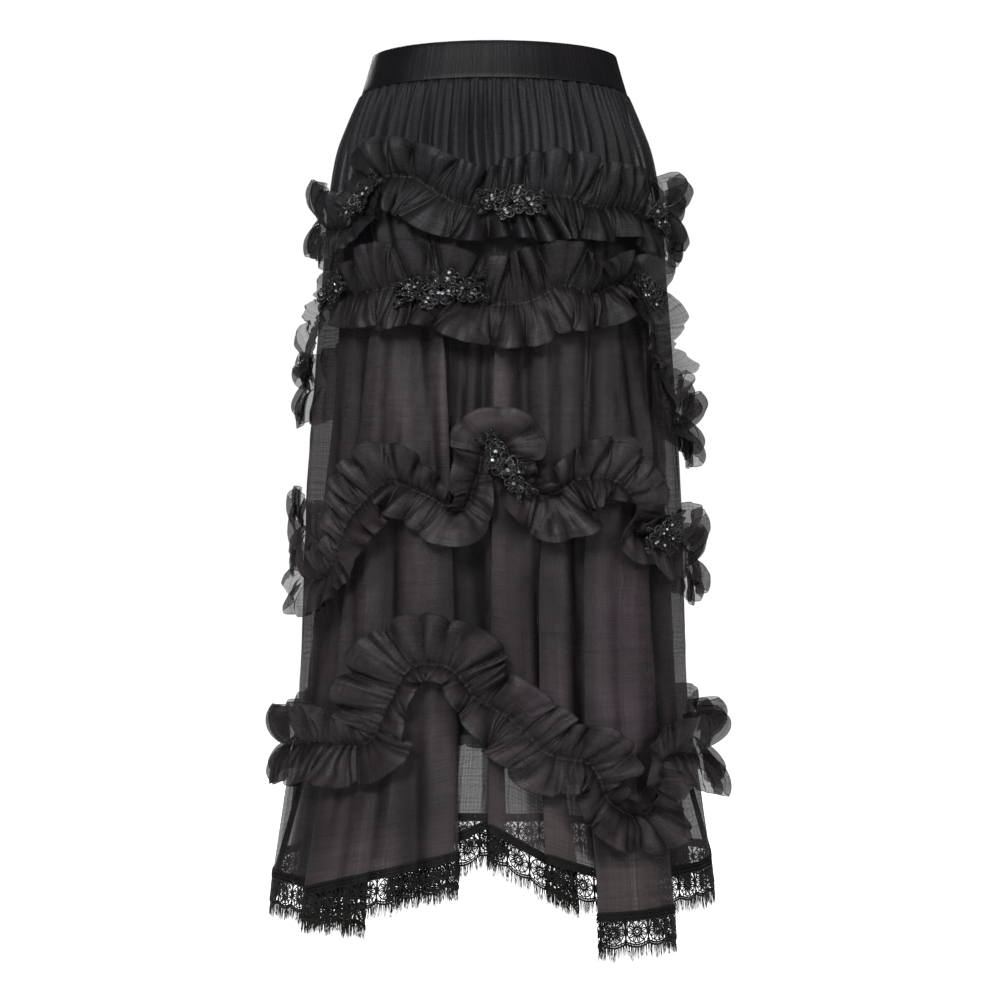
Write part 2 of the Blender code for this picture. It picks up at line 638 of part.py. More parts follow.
def build():
    for old in list(bpy.data.objects):
        bpy.data.objects.remove(old, do_unlink=True)
    collection = bpy.data.collections.new("tiered_skirt")
    bpy.context.scene.collection.children.link(collection)

    gap = SIDE_SEAM_HALF_GAP
    right, left = SIDE_SEAM_TURN, 360 - SIDE_SEAM_TURN
    spans = {"front": (-right + gap, right - gap), "back": (right + gap, left - gap)}
    columns = {
        "front": columns_of(FRONT_LAPS, *spans["front"], LEFT_SIDE_HEM, RIGHT_SIDE_HEM),
        "back": columns_of(BACK_LAPS, *spans["back"], RIGHT_SIDE_HEM, LEFT_SIDE_HEM),
    }
    rows = {"front": SKIRT_ROWS, "back": BACK_SKIRT_ROWS}
    skirt = {side: skirt_grid(columns[side], rows[side]) for side in spans}

    def add(name, points, wall, colour):
        return finish_piece(name, grid_mesh(points), wall, colour, collection)

    for side, (first, last) in spans.items():
        half = BAND_HEIGHT / 2
        ends = first + BAND_SEAM_HALF_GAP, last - BAND_SEAM_HALF_GAP
        band = oval_grid(BAND_SECTIONS, *ends, 24, [-half, 0, half - BAND_EDGE_SLANT])
        add(f"waistband_{side}", band, BAND_WALL, "waistband")
        add(f"overskirt_{side}", skirt[side], CLOTH_WALL, "overskirt")
        drops = [0.0203, 0.07, 0.16, 0.36, 0.46, 0.674]
        add(
            f"lining_{side}",
            oval_grid(LINING_SECTIONS, first, last, 20, drops),
            CLOTH_WALL,
            "lining",
        )
        hem = columns[side]
        scallop = LACE_DROP - scallop_rise(hem)
        lace = below_hem(hem, [SEAM_GAP, LACE_DROP / 2, scallop])
        shape = grid_mesh(lace)
        cut_holes(shape, lace)
        finish_piece(f"lace_{side}", shape, LACE_WALL, "lace", collection)
        strip = below_hem(hem, [scallop + SEAM_GAP, scallop + SEAM_GAP + STRIP_DROP])
        shape = grid_mesh(strip)
        add_locks(shape, strip)
        finish_piece(f"fringe_{side}", shape, CLOTH_WALL, "fringe", collection)

    under = Envelope(skirt.values(), ENVELOPE_SPREAD)
    ruffles = []
    for tier, (front, back) in enumerate(zip(RUFFLE_FRONTS, RUFFLE_BACKS), 1):
        tables = {"front": (front, FRONT_WAVES), "back": (back, BACK_WAVES)}
        for side, (bends, waves) in tables.items():
            trimmed = list(bends)
            trimmed[0] = bends[0]._replace(turn=bends[0].turn + RUFFLE_SEAM_HALF_GAP)
            trimmed[-1] = bends[-1]._replace(turn=bends[-1].turn - RUFFLE_SEAM_HALF_GAP)
            points = ruffle_grid(trimmed, waves, under)
            ruffles.append(points)
            add(f"ruffle_{tier}_{side}", points, CLOTH_WALL, "ruffle")

    cloths = [*skirt.values(), *ruffles]
    under_flowers, tree = Envelope(cloths, FLOWER_SPREAD), cloth_tree(cloths)
    for number, flower in enumerate(FLOWERS, 1):
        shape = flower_mesh(flower, under_flowers)
        seat_on(shape, tree, flower.clear)
        finish_piece(f"applique_{number}", shape, FLOWER_WALL, "flower", collection)


build()
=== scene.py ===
from collections import namedtuple

import bmesh
import bpy
import numpy as np
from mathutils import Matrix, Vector


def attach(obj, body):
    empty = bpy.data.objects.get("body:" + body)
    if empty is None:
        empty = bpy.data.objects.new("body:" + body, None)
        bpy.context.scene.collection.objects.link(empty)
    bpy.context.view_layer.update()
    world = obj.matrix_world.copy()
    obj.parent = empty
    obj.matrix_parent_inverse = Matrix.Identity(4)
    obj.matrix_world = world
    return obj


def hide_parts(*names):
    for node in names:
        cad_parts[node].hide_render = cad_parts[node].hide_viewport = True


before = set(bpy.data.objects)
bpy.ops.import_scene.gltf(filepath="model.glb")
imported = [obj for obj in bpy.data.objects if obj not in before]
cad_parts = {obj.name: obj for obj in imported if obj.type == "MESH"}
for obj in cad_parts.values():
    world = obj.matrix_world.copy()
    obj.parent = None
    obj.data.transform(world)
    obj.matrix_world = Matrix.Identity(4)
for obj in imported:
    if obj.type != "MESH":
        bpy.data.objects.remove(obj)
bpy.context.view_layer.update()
print("frame in place")

# the form, as it was cut

Section = namedtuple("Section", "drop halfWidth halfDepth")
Gather = namedtuple("Gather", "drop depth")
Lap = namedtuple("Lap", "side edgeTop edgeHem overlap under over start hemUnder hemOver")
Flute = namedtuple("Flute", "turnTop turnHem width height start")
Bend = namedtuple("Bend", "turn drop above below lift", defaults=[0.018])
Flower = namedtuple("Flower", "turn drop width height tilt seed stones")

form = {
    "clothWall": 0.001,
    "sideSeamTurn": 90.0,
    "sideSeamHalfGap": 0.01,    # in degrees, so that the sewn halves meet
    "topDrop": 0.0203,
    "hemLevel": 0.815,
    "hemRiseFrom": 0.450,
    "columnWidth": 0.0175,
    "returnColumnWidth": 0.036,
    "columnsInAGather": 3,
    "rollRadius": 0.190,
    "lapTip": 1.3,
    "lapsFormFrom": 0.03,
    "creaseShare": 0.7,
    "creaseRun": 0.20,
}
bandSections = [
    Section(-0.0200, 0.1265, 0.0945),
    Section(0.0000, 0.1320, 0.0990),
    Section(0.0200, 0.1380, 0.1040),
]
skirtSections = [
    Section(0.0203, 0.1396, 0.1056),
    Section(0.0545, 0.1520, 0.1165),
    Section(0.0755, 0.1600, 0.1235),
    Section(0.1280, 0.1720, 0.1350),
    Section(0.2330, 0.1820, 0.1470),
    Section(0.3380, 0.1900, 0.1560),
    Section(0.4430, 0.1960, 0.1630),
    Section(0.5500, 0.1990, 0.1680),
    Section(0.6530, 0.2030, 0.1730),
    Section(0.7580, 0.2180, 0.1820),
    Section(0.8500, 0.2300, 0.1900),
    Section(0.9000, 0.2330, 0.1920),
]
liningSections = [
    Section(0.0203, 0.1368, 0.1028),
    Section(0.0700, 0.1460, 0.1110),
    Section(0.1600, 0.1560, 0.1200),
    Section(0.3600, 0.1690, 0.1310),
    Section(0.4600, 0.1800, 0.1400),
    Section(0.6740, 0.1920, 0.1490),
]
gathers = [
    Gather(0.0203, 0.0009),
    Gather(0.0400, 0.0030),
    Gather(0.0660, 0.0042),
    Gather(0.1100, 0.0034),
    Gather(0.1700, 0.0015),
    Gather(0.2350, 0.0000),
    Gather(0.3900, 0.0000),
]
frontLaps = [
    Lap("left", -38, -52.0, 20, 0.000, 0.012, 0.235, 0.824, 0.827),
    Lap("right", -14, -8.5, 19, -0.010, 0.010, 0.330, 0.795, 0.783),
    Lap("left", 0, -1.7, 5, -0.010, 0.001, 0.330, 0.748, 0.758),
    Lap("left", 13, 12.3, 9, -0.002, 0.009, 0.570, 0.802, 0.786),
    Lap("left", 27, 24.0, 10, 0.005, 0.018, 0.450, 0.812, 0.842),
    Lap("right", 52, 47.0, 11, 0.000, 0.015, 0.450, 0.812, 0.842),
]
backLaps = [
    Lap("left", 116, 118.0, 10, 0.000, 0.012, 0.400, 0.812, 0.822),
    Lap("right", 152, 154.0, 9, 0.000, 0.012, 0.550, 0.800, 0.806),
    Lap("left", 205, 208.0, 9, 0.000, 0.012, 0.400, 0.800, 0.806),
    Lap("right", 242, 243.0, 10, 0.000, 0.012, 0.400, 0.812, 0.822),
]
sideHems = {"right": 0.807, "left": 0.821}
flutes = [
    Flute(-74, -72, 8, 0.009, 0.20),
    Flute(-26, -31, 14, 0.008, 0.25),
    Flute(40, 36, 9, 0.006, 0.30),
    Flute(66, 69, 8, 0.008, 0.20),
    Flute(107, 106, 6, 0.008, 0.22),
    Flute(133, 136, 10, 0.009, 0.22),
    Flute(166, 167, 6, 0.008, 0.28),
    Flute(192, 193, 6, 0.008, 0.24),
    Flute(222, 226, 10, 0.009, 0.22),
    Flute(254, 255, 6, 0.008, 0.26),
]
ruffleFronts = [
    [
        Bend(-90, 0.143, 0.036, 0.038, 0.022),
        Bend(-59, 0.168, 0.036, 0.030),
        Bend(-48, 0.164, 0.034, 0.030),
        Bend(-37, 0.122, 0.036, 0.036),
        Bend(-27, 0.122, 0.038, 0.040),
        Bend(-15, 0.145, 0.040, 0.038),
        Bend(-5, 0.155, 0.040, 0.036),
        Bend(8, 0.150, 0.040, 0.038),
        Bend(20, 0.142, 0.040, 0.040),
        Bend(33, 0.152, 0.040, 0.034),
        Bend(48, 0.150, 0.040, 0.036),
        Bend(57, 0.160, 0.036, 0.034),
        Bend(67, 0.145, 0.034, 0.040, 0.024),
        Bend(90, 0.150, 0.034, 0.040, 0.030),
    ],
    [
        Bend(-90, 0.330, 0.036, 0.036, 0.020),
        Bend(-76, 0.285, 0.030, 0.034, 0.020),
        Bend(-61, 0.232, 0.016, 0.028),
        Bend(-48, 0.236, 0.034, 0.038),
        Bend(-27, 0.232, 0.038, 0.040),
        Bend(-14, 0.238, 0.040, 0.042),
        Bend(-2, 0.250, 0.040, 0.042),
        Bend(9, 0.248, 0.042, 0.040),
        Bend(21, 0.232, 0.038, 0.038),
        Bend(33, 0.238, 0.036, 0.036),
        Bend(43, 0.226, 0.030, 0.030),
        Bend(52, 0.245, 0.034, 0.024),
        Bend(57, 0.285, 0.036, 0.024),
        Bend(60, 0.325, 0.032, 0.026, 0.022),
        Bend(72, 0.358, 0.028, 0.034, 0.024),
        Bend(90, 0.375, 0.038, 0.038, 0.024),
    ],
    [
        Bend(-90, 0.464, 0.038, 0.038, 0.018),
        Bend(-78, 0.492, 0.038, 0.036),
        Bend(-66, 0.525, 0.036, 0.034),
        Bend(-54, 0.516, 0.020, 0.036),
        Bend(-40, 0.454, 0.032, 0.034),
        Bend(-28, 0.426, 0.036, 0.032),
        Bend(-19, 0.436, 0.024, 0.034),
        Bend(-9, 0.452, 0.010, 0.040),
        Bend(-4.5, 0.418, 0.022, 0.010, 0.014),
        Bend(-1.5, 0.390, 0.033, 0.010, 0.014),
        Bend(2.5, 0.390, 0.032, 0.010, 0.014),
        Bend(5, 0.416, 0.019, 0.012),
        Bend(14, 0.438, 0.014, 0.040),
        Bend(24, 0.422, 0.030, 0.038),
        Bend(33, 0.424, 0.040, 0.024),
        Bend(40, 0.448, 0.038, 0.010),
        Bend(39, 0.475, 0.022, 0.026),
        Bend(48, 0.476, 0.012, 0.040),
        Bend(62, 0.482, 0.034, 0.038),
        Bend(75, 0.496, 0.038, 0.034),
        Bend(90, 0.515, 0.036, 0.038, 0.020),
    ],
    [
        Bend(-90, 0.700, 0.038, 0.040, 0.026),
        Bend(-70, 0.693, 0.038, 0.040, 0.022),
        Bend(-50, 0.684, 0.038, 0.040),
        Bend(-33, 0.678, 0.028, 0.040),
        Bend(-27, 0.640, 0.044, 0.022),
        Bend(-20, 0.604, 0.052, 0.016),
        Bend(-12, 0.606, 0.052, 0.014),
        Bend(-5, 0.634, 0.044, 0.018),
        Bend(5, 0.656, 0.036, 0.040),
        Bend(14, 0.688, 0.034, 0.038),
        Bend(24, 0.700, 0.036, 0.024),
        Bend(29, 0.738, 0.011, 0.030),
        Bend(35, 0.750, 0.011, 0.036),
        Bend(41, 0.735, 0.011, 0.030),
        Bend(46, 0.700, 0.034, 0.024),
        Bend(60, 0.698, 0.038, 0.038, 0.022),
        Bend(75, 0.704, 0.038, 0.040, 0.032),
        Bend(90, 0.700, 0.038, 0.040, 0.036),
    ],
]
ruffleBacks = [
    [
        Bend(90, 0.150, 0.034, 0.040, 0.030),
        Bend(120, 0.165, 0.034, 0.038),
        Bend(150, 0.142, 0.034, 0.038),
        Bend(180, 0.158, 0.034, 0.038),
        Bend(210, 0.142, 0.034, 0.038),
        Bend(240, 0.160, 0.036, 0.038),
        Bend(270, 0.143, 0.036, 0.038, 0.022),
    ],
    [
        Bend(90, 0.375, 0.038, 0.038, 0.024),
        Bend(115, 0.340, 0.038, 0.038),
        Bend(148, 0.300, 0.038, 0.038),
        Bend(180, 0.318, 0.038, 0.038),
        Bend(212, 0.296, 0.038, 0.038),
        Bend(245, 0.318, 0.038, 0.038),
        Bend(270, 0.330, 0.036, 0.036, 0.020),
    ],
    [
        Bend(90, 0.515, 0.036, 0.038, 0.020),
        Bend(115, 0.508, 0.038, 0.038),
        Bend(148, 0.482, 0.036, 0.036),
        Bend(180, 0.500, 0.038, 0.038),
        Bend(212, 0.476, 0.038, 0.038),
        Bend(245, 0.488, 0.038, 0.038),
        Bend(270, 0.464, 0.038, 0.038),
    ],
    [
        Bend(90, 0.700, 0.038, 0.040, 0.036),
        Bend(118, 0.690, 0.038, 0.040, 0.022),
        Bend(150, 0.668, 0.038, 0.040),
        Bend(180, 0.688, 0.038, 0.040),
        Bend(210, 0.668, 0.038, 0.040),
        Bend(242, 0.690, 0.038, 0.040),
        Bend(270, 0.700, 0.038, 0.040, 0.026),
    ],
]


def through(rows, column, drop):
    places = np.array([row.drop for row in rows])
    return smooth(np.asarray(drop, float), places, np.array([getattr(row, column) for row in rows]))


def smooth(at, places, values):
    slopes = np.gradient(values, places)
    i = np.clip(np.searchsorted(places, at) - 1, 0, len(places) - 2)
    step = places[i + 1] - places[i]
    t = np.clip((at - places[i]) / step, 0, 1)
    lead = (2 * t**3 - 3 * t**2 + 1) * values[i] + (3 * t**2 - 2 * t**3) * values[i + 1]
    return lead + ((t**3 - 2 * t**2 + t) * slopes[i] + (t**3 - t**2) * slopes[i + 1]) * step


def ease(low, high, at):
    t = np.clip((np.asarray(at, float) - low) / (high - low), 0, 1)
    return t * t * (3 - 2 * t)


def place(turn, drop, out, sections=skirtSections):
    # the point at this turn and drop, this far out from an oval
    angle = np.radians(turn)
    wide = through(sections, "halfWidth", drop) + out
    deep = through(sections, "halfDepth", drop) + out
    return np.stack([wide * np.sin(angle), -deep * np.cos(angle), -drop + 0 * wide], -1)


def whereOnSkirt(points):
    drop = -points[..., 2]
    wide, deep = through(skirtSections, "halfWidth", drop), through(skirtSections, "halfDepth", drop)
    out = np.zeros_like(drop)
    for _ in range(4):
        across, along = points[..., 0] / (wide + out), -points[..., 1] / (deep + out)
        out = out + (np.hypot(across, along) - 1) * (wide + out)
    return np.degrees(np.arctan2(across, along)), drop, out


def softNoise(places, seed):
    # a smooth random curve between -1 and 1, read at these places
    places = np.atleast_1d(np.asarray(places, float))
    count = 997
    knots = np.random.default_rng(seed * 17).uniform(-1, 1, count)
    i = np.floor(places).astype(int)
    t = places - i
    t = t * t * (3 - 2 * t)
    return knots[i % count] * (1 - t) + knots[(i + 1) % count] * t


def softNoise2(x, y, seed):
    # the same over a plane
    count = 211
    knots = np.random.default_rng(seed).uniform(-1, 1, (count, count))
    i, j = np.floor(x).astype(int), np.floor(y).astype(int)
    u, v = x - i, y - j
    u, v = u * u * (3 - 2 * u), v * v * (3 - 2 * v)
    i, j, iNext, jNext = i % count, j % count, (i + 1) % count, (j + 1) % count
    low = knots[i, j] * (1 - u) + knots[iNext, j] * u
    high = knots[i, jNext] * (1 - u) + knots[iNext, jNext] * u
    return low * (1 - v) + high * v


# the overskirt: gathered at the waist, folded into laps lower down

overskirtLook = {
    "splits": 6,            # fine columns in each of the cut's columns
    "rows": 132,
    "soften": 1.1,          # how far the fold edges are rounded, in cut columns
    "finePleat": 0.0007,
    "softFold": 0.0030,
    "crumple": 0.0009,
}


def lapStations(lap):
    away = 1 if lap.side == "left" else -1
    tip = away * form["lapTip"]
    hidden = lap.edgeHem + away * lap.overlap
    rows = [
        (hidden - tip, 0.0, lap.hemUnder),
        (hidden, 0.15, lap.hemUnder),
        (hidden - tip, 0.32, lap.hemUnder),
        (lap.edgeHem + tip, 0.68, lap.hemOver),
        (lap.edgeHem, 0.85, lap.hemOver),
        (lap.edgeHem + tip, 1.0, lap.hemOver),
    ]
    rows = rows if away > 0 else rows[::-1]
    rise = lap.over - lap.under
    return [(lap.edgeTop, turn, lap.under + share * rise, lap.start, hem) for turn, share, hem in rows]


def columnsOf(laps, first, last, firstHem, lastHem):
    # for each column: turn where the laps start, turn at the hem, distance out, start, hem
    stations = [(first, first, 0.0, laps[0].start, firstHem)]
    for lap in laps:
        stations += lapStations(lap)
    stations.append((last, last, 0.0, laps[-1].start, lastHem))
    widths = [
        abs(b[1] - a[1]) * np.radians(1) * form["rollRadius"] for a, b in zip(stations, stations[1:])
    ]
    counts = [max(1, round(width / form["columnWidth"])) for width in widths]
    for k in range(len(laps)):
        counts[3 + 6 * k] = max(1, round(widths[3 + 6 * k] / form["returnColumnWidth"]))
    if sum(counts) % 2:
        counts[int(np.argmax(widths))] += 1
    ends = np.concatenate([[0], np.cumsum(counts)])
    coarse = np.arange(ends[-1] + 1)
    fine = np.linspace(0, ends[-1], ends[-1] * overskirtLook["splits"] + 1)
    reach = int(overskirtLook["soften"] * overskirtLook["splits"] / 2)
    kernel = np.hanning(2 * reach + 3)[1:-1]
    names = ("upper", "turn", "out", "start", "hem")
    columns = {}
    for name, values in zip(names, zip(*stations)):
        values = smooth(fine, coarse, np.interp(coarse, ends, values))
        before = 2 * values[0] - values[reach:0:-1]
        after = 2 * values[-1] - values[-2:-reach - 2:-1]
        padded = np.concatenate([before, values, after])
        columns[name] = np.convolve(padded, kernel / kernel.sum(), "valid")
    columns["index"] = fine
    return columns


def flutesAt(turn, drop):
    total = np.zeros(np.broadcast(turn, drop).shape)
    for flute in flutes:
        grown = ease(flute.start, form["hemLevel"], drop)
        centre = flute.turnTop + (flute.turnHem - flute.turnTop) * grown
        total += flute.height * grown * np.exp(-(((turn - centre) / flute.width) ** 2))
    return total


Crease = namedtuple("Crease", "turnTop dropTop turnLow dropLow width depth")
creases = [
    Crease(-26, 0.19, -17, 0.45, 4.5, 0.013),
    Crease(-10, 0.20, -12, 0.41, 3.0, 0.006),
    Crease(-2, 0.23, -3, 0.43, 3.0, 0.011),
    Crease(8, 0.23, 10, 0.45, 3.8, 0.012),
    Crease(20, 0.25, 19, 0.43, 2.6, 0.005),
    Crease(34, 0.22, 31, 0.45, 4.2, 0.010),
    Crease(45, 0.26, 46, 0.48, 3.0, 0.007),
    Crease(-45, 0.27, -48, 0.52, 3.8, 0.008),
    Crease(-58, 0.30, -61, 0.60, 4.5, 0.009),
    Crease(58, 0.30, 60, 0.62, 4.0, 0.010),
    Crease(-29, 0.45, -32, 0.72, 3.6, 0.012),
    Crease(-42, 0.50, -44, 0.76, 2.6, 0.006),
    Crease(-10, 0.46, -8, 0.72, 5.5, 0.011),
    Crease(14, 0.47, 13, 0.76, 3.0, 0.007),
    Crease(24, 0.45, 27, 0.76, 3.6, 0.012),
    Crease(34, 0.50, 34, 0.74, 2.5, 0.004),
    Crease(52, 0.46, 53, 0.80, 3.6, 0.011),
    Crease(-67, 0.52, -69, 0.80, 4.0, 0.008),
    Crease(66, 0.56, 68, 0.82, 4.0, 0.007),
    Crease(-21, 0.66, -20, 0.86, 3.4, 0.010),
    Crease(-30, 0.70, -30, 0.86, 2.4, 0.006),
    Crease(-38, 0.60, -40, 0.84, 2.6, 0.007),
    Crease(104, 0.22, 106, 0.46, 3.8, 0.009),
    Crease(124, 0.25, 121, 0.55, 4.4, 0.011),
    Crease(141, 0.20, 144, 0.43, 3.4, 0.009),
    Crease(158, 0.26, 156, 0.60, 4.0, 0.012),
    Crease(176, 0.20, 179, 0.48, 4.4, 0.012),
    Crease(193, 0.24, 190, 0.46, 3.2, 0.007),
    Crease(208, 0.22, 211, 0.62, 4.4, 0.012),
    Crease(229, 0.26, 226, 0.50, 3.6, 0.008),
    Crease(248, 0.24, 250, 0.58, 4.2, 0.010),
    Crease(111, 0.50, 112, 0.80, 3.6, 0.010),
    Crease(138, 0.48, 137, 0.78, 4.2, 0.011),
    Crease(171, 0.52, 172, 0.80, 3.6, 0.012),
    Crease(196, 0.50, 198, 0.78, 4.0, 0.010),
    Crease(233, 0.52, 235, 0.80, 4.0, 0.011),
    Crease(259, 0.50, 260, 0.80, 3.4, 0.008),
]


def creasesAt(turn, drop):
    total = np.zeros(np.broadcast(turn, drop).shape)
    for crease in creases:
        share = np.clip((drop - crease.dropTop) / (crease.dropLow - crease.dropTop), 0, 1)
        centre = crease.turnTop + (crease.turnLow - crease.turnTop) * share
        centre = centre + 0.8 * np.sin(drop * 19 + crease.turnTop)
        fading = ease(crease.dropTop - 0.03, crease.dropTop + 0.07, drop) * (
            1 - ease(crease.dropLow - 0.05, crease.dropLow + 0.05, drop))
        total += crease.depth * fading * np.exp(-(((turn - centre) / crease.width) ** 2))
    return total


def clothPoint(columns, drop):
    index, start, hemLevel = columns["index"], columns["start"], form["hemLevel"]
    even = np.linspace(columns["turn"][0], columns["turn"][-1], len(index))
    above = even + (columns["upper"] - even) * ease(form["lapsFormFrom"], start, drop)
    fold = np.clip((drop - start) / (hemLevel - start), 0, 1) ** 0.85
    turn = above + (columns["turn"] - above) * fold
    share = form["creaseShare"]
    depth = share * ease(start - form["creaseRun"], start, drop) + (1 - share) * fold
    lower = np.clip((drop - form["hemRiseFrom"]) / (hemLevel - form["hemRiseFrom"]), 0, 1)
    level = drop + (columns["hem"] - hemLevel) * lower
    inside = np.minimum(index, index[-1] - index)
    fade = ease(0, 2, inside)
    wander = 0.55 * softNoise(index / 5, 3) + 0.5 * softNoise(index / 9 + drop * 14, 4)
    wave = np.sin(2 * np.pi * (index + 0.5) / form["columnsInAGather"] + 1.6 * wander)
    gather = through(gathers, "depth", drop) * wave * (1 + 0.45 * softNoise(index / 4, 5))
    near = np.exp(-(((drop - 0.03) / 0.055) ** 2))
    gather = gather + overskirtLook["finePleat"] * near * np.sin(2 * np.pi * index / 0.97 + 2 * wander)
    lowered = ease(0.10, 0.42, drop) * (1 - 0.6 * fold)
    soft = overskirtLook["softFold"] * softNoise(turn / 6.5 + 40 + 0.8 * softNoise(drop * 5, 7), 8) * lowered
    soft = soft + 0.5 * overskirtLook["softFold"] * softNoise(turn / 2.7 + drop * 1.5 + 90, 9) * lowered
    crumple = overskirtLook["crumple"] * softNoise2(turn / 2.2 + 300, drop * 60 + turn / 9 + 0 * turn, 10)
    hollows = creasesAt(turn, drop + 0 * turn)
    out = columns["out"] * depth + flutesAt(turn, level) + (gather + soft + crumple * lowered - hollows) * fade
    return turn, level, out


def belowHem(columns, drops):
    turn, level, out = clothPoint(columns, form["hemLevel"])
    return np.array([place(turn, level + drop, out) for drop in drops])


gap, side = form["sideSeamHalfGap"], form["sideSeamTurn"]
spans = {"front": (-side + gap, side - gap), "back": (side + gap, 360 - side - gap)}
cutColumns = {
    "front": columnsOf(frontLaps, *spans["front"], sideHems["left"], sideHems["right"]),
    "back": columnsOf(backLaps, *spans["back"], sideHems["right"], sideHems["left"]),
}
downShares = np.linspace(0, 1, overskirtLook["rows"]) ** 1.15
clothDrops = form["topDrop"] + (form["hemLevel"] - form["topDrop"]) * downShares
skirtGrids = {
    half: np.array([place(*clothPoint(columns, drop)) for drop in clothDrops])
    for half, columns in cutColumns.items()
}
for half, columns in cutColumns.items():
    # the top edge is tucked under the band
    turn, level, out = clothPoint(columns, clothDrops[0])
    skirtGrids[half][0] = place(turn, level - 0.0024, out - 0.0034)
print("overskirt shaped")


def gridFaces(rows, columns):
    index = np.arange(rows * columns).reshape(rows, columns)
    return np.stack([index[:-1, :-1], index[1:, :-1], index[1:, 1:], index[:-1, 1:]], -1).reshape(-1, 4)


def sheetMesh(name, points, across, down):
    # a grid as a mesh whose UV map holds these distances over the flat cloth, in metres
    faces = gridFaces(*points.shape[:2])
    mesh = bpy.data.meshes.new(name)
    mesh.from_pydata(points.reshape(-1, 3).tolist(), [], faces.tolist())
    flat = np.stack([across + 0 * points[..., 0], down + 0 * points[..., 0]], -1).reshape(-1, 2)
    layer = mesh.uv_layers.new(name="cloth")
    layer.data.foreach_set("uv", flat[faces.ravel()].astype(np.float32).ravel())
    mesh.shade_smooth()
    mesh.validate()
    return mesh


def pieceFrom(name, mesh, material, nodes=()):
    piece = bpy.data.objects.new(name, mesh)
    bpy.context.scene.collection.objects.link(piece)
    mesh.materials.clear()
    mesh.materials.append(material)
    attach(piece, "root")
    if nodes:
        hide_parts(*nodes)
    return piece


def stepLengths(line):
    return np.concatenate([[0], np.cumsum(np.linalg.norm(np.diff(line, axis=0), axis=1))])


# how far out the cloth reaches, with its hollows bridged, for what lies on it

class Reach:
    def __init__(self, grids, spread, blur):
        # a map with a column for each degree and a row for each step down
        self.step, self.rows = 0.004, 232
        reach = np.full((self.rows, 360), -0.02)
        for grid in grids:
            turn, drop, out = whereOnSkirt(grid.reshape(-1, 3))
            rows = np.clip((drop / self.step).astype(int), 0, self.rows - 1)
            np.maximum.at(reach, (rows, turn.astype(int) % 360), out)
        turns = range(-spread, spread + 1)
        reach = np.max([np.roll(reach, k, 1) for k in turns], 0)
        reach = np.max([np.roll(reach, k, 0) for k in range(-blur, blur + 1)], 0)
        reach = np.mean([np.roll(reach, k, 1) for k in turns], 0)
        self.reach = np.mean([np.roll(reach, k, 0) for k in range(-blur, blur + 1)], 0)

    def at(self, turn, drop):
        row = np.clip(np.asarray(drop) / self.step - 0.5, 0, self.rows - 1.001)
        column = np.asarray(turn) - 0.5
        i, j = np.floor(row).astype(int), np.floor(column).astype(int)
        v, u = row - i, column - j
        top = self.reach[i, j % 360] * (1 - u) + self.reach[i, (j + 1) % 360] * u
        low = self.reach[i + 1, j % 360] * (1 - u) + self.reach[i + 1, (j + 1) % 360] * u
        return top * (1 - v) + low * v


# the ruffles: strips gathered on a line down their middle

ruffleLook = {
    "step": 0.0012,
    "across": 15,
    "wave": 0.033,
    "waveSpread": 0.016,
    "tuck": 1.25,
    "gatherWave": 0.0030,
    "gatherHeight": 0.0026,
    "creaseWave": 0.0075,
    "radialCrease": 0.0056,
    "fanPleat": 0.0085,
    "drift": 0.011,
    "curl": 0.48,
    "lobe": 0.22,
    "crumple": 0.0014,
    "clear": 0.0014,
    "widestForBend": 0.72,
    "cutWidth": 0.078,
}


def gatherLine(bends):
    rows = np.array(bends, float)
    rows[:, 0] = np.radians(rows[:, 0]) * form["rollRadius"]
    along = np.concatenate([[0], np.cumsum(np.hypot(np.diff(rows[:, 0]), np.diff(rows[:, 1])))])
    fine = np.linspace(0, along[-1], 900)
    line = np.stack([smooth(fine, along, values) for values in rows.T], 1)
    length = np.concatenate([[0], np.cumsum(np.hypot(*np.diff(line[:, :2], axis=0).T))])
    even = np.linspace(0, length[-1], round(length[-1] / ruffleLook["step"]) + 1)
    return np.stack([np.interp(even, length, values) for values in line.T], 1), even


def blurred(values, reach):
    kernel = np.hanning(2 * reach + 3)[1:-1]
    padded = np.pad(values, [(reach, reach)] + [(0, 0)] * (values.ndim - 1), "edge")
    if values.ndim == 1:
        return np.convolve(padded, kernel / kernel.sum(), "valid")
    return np.stack([np.convolve(column, kernel / kernel.sum(), "valid") for column in padded.T], 1)


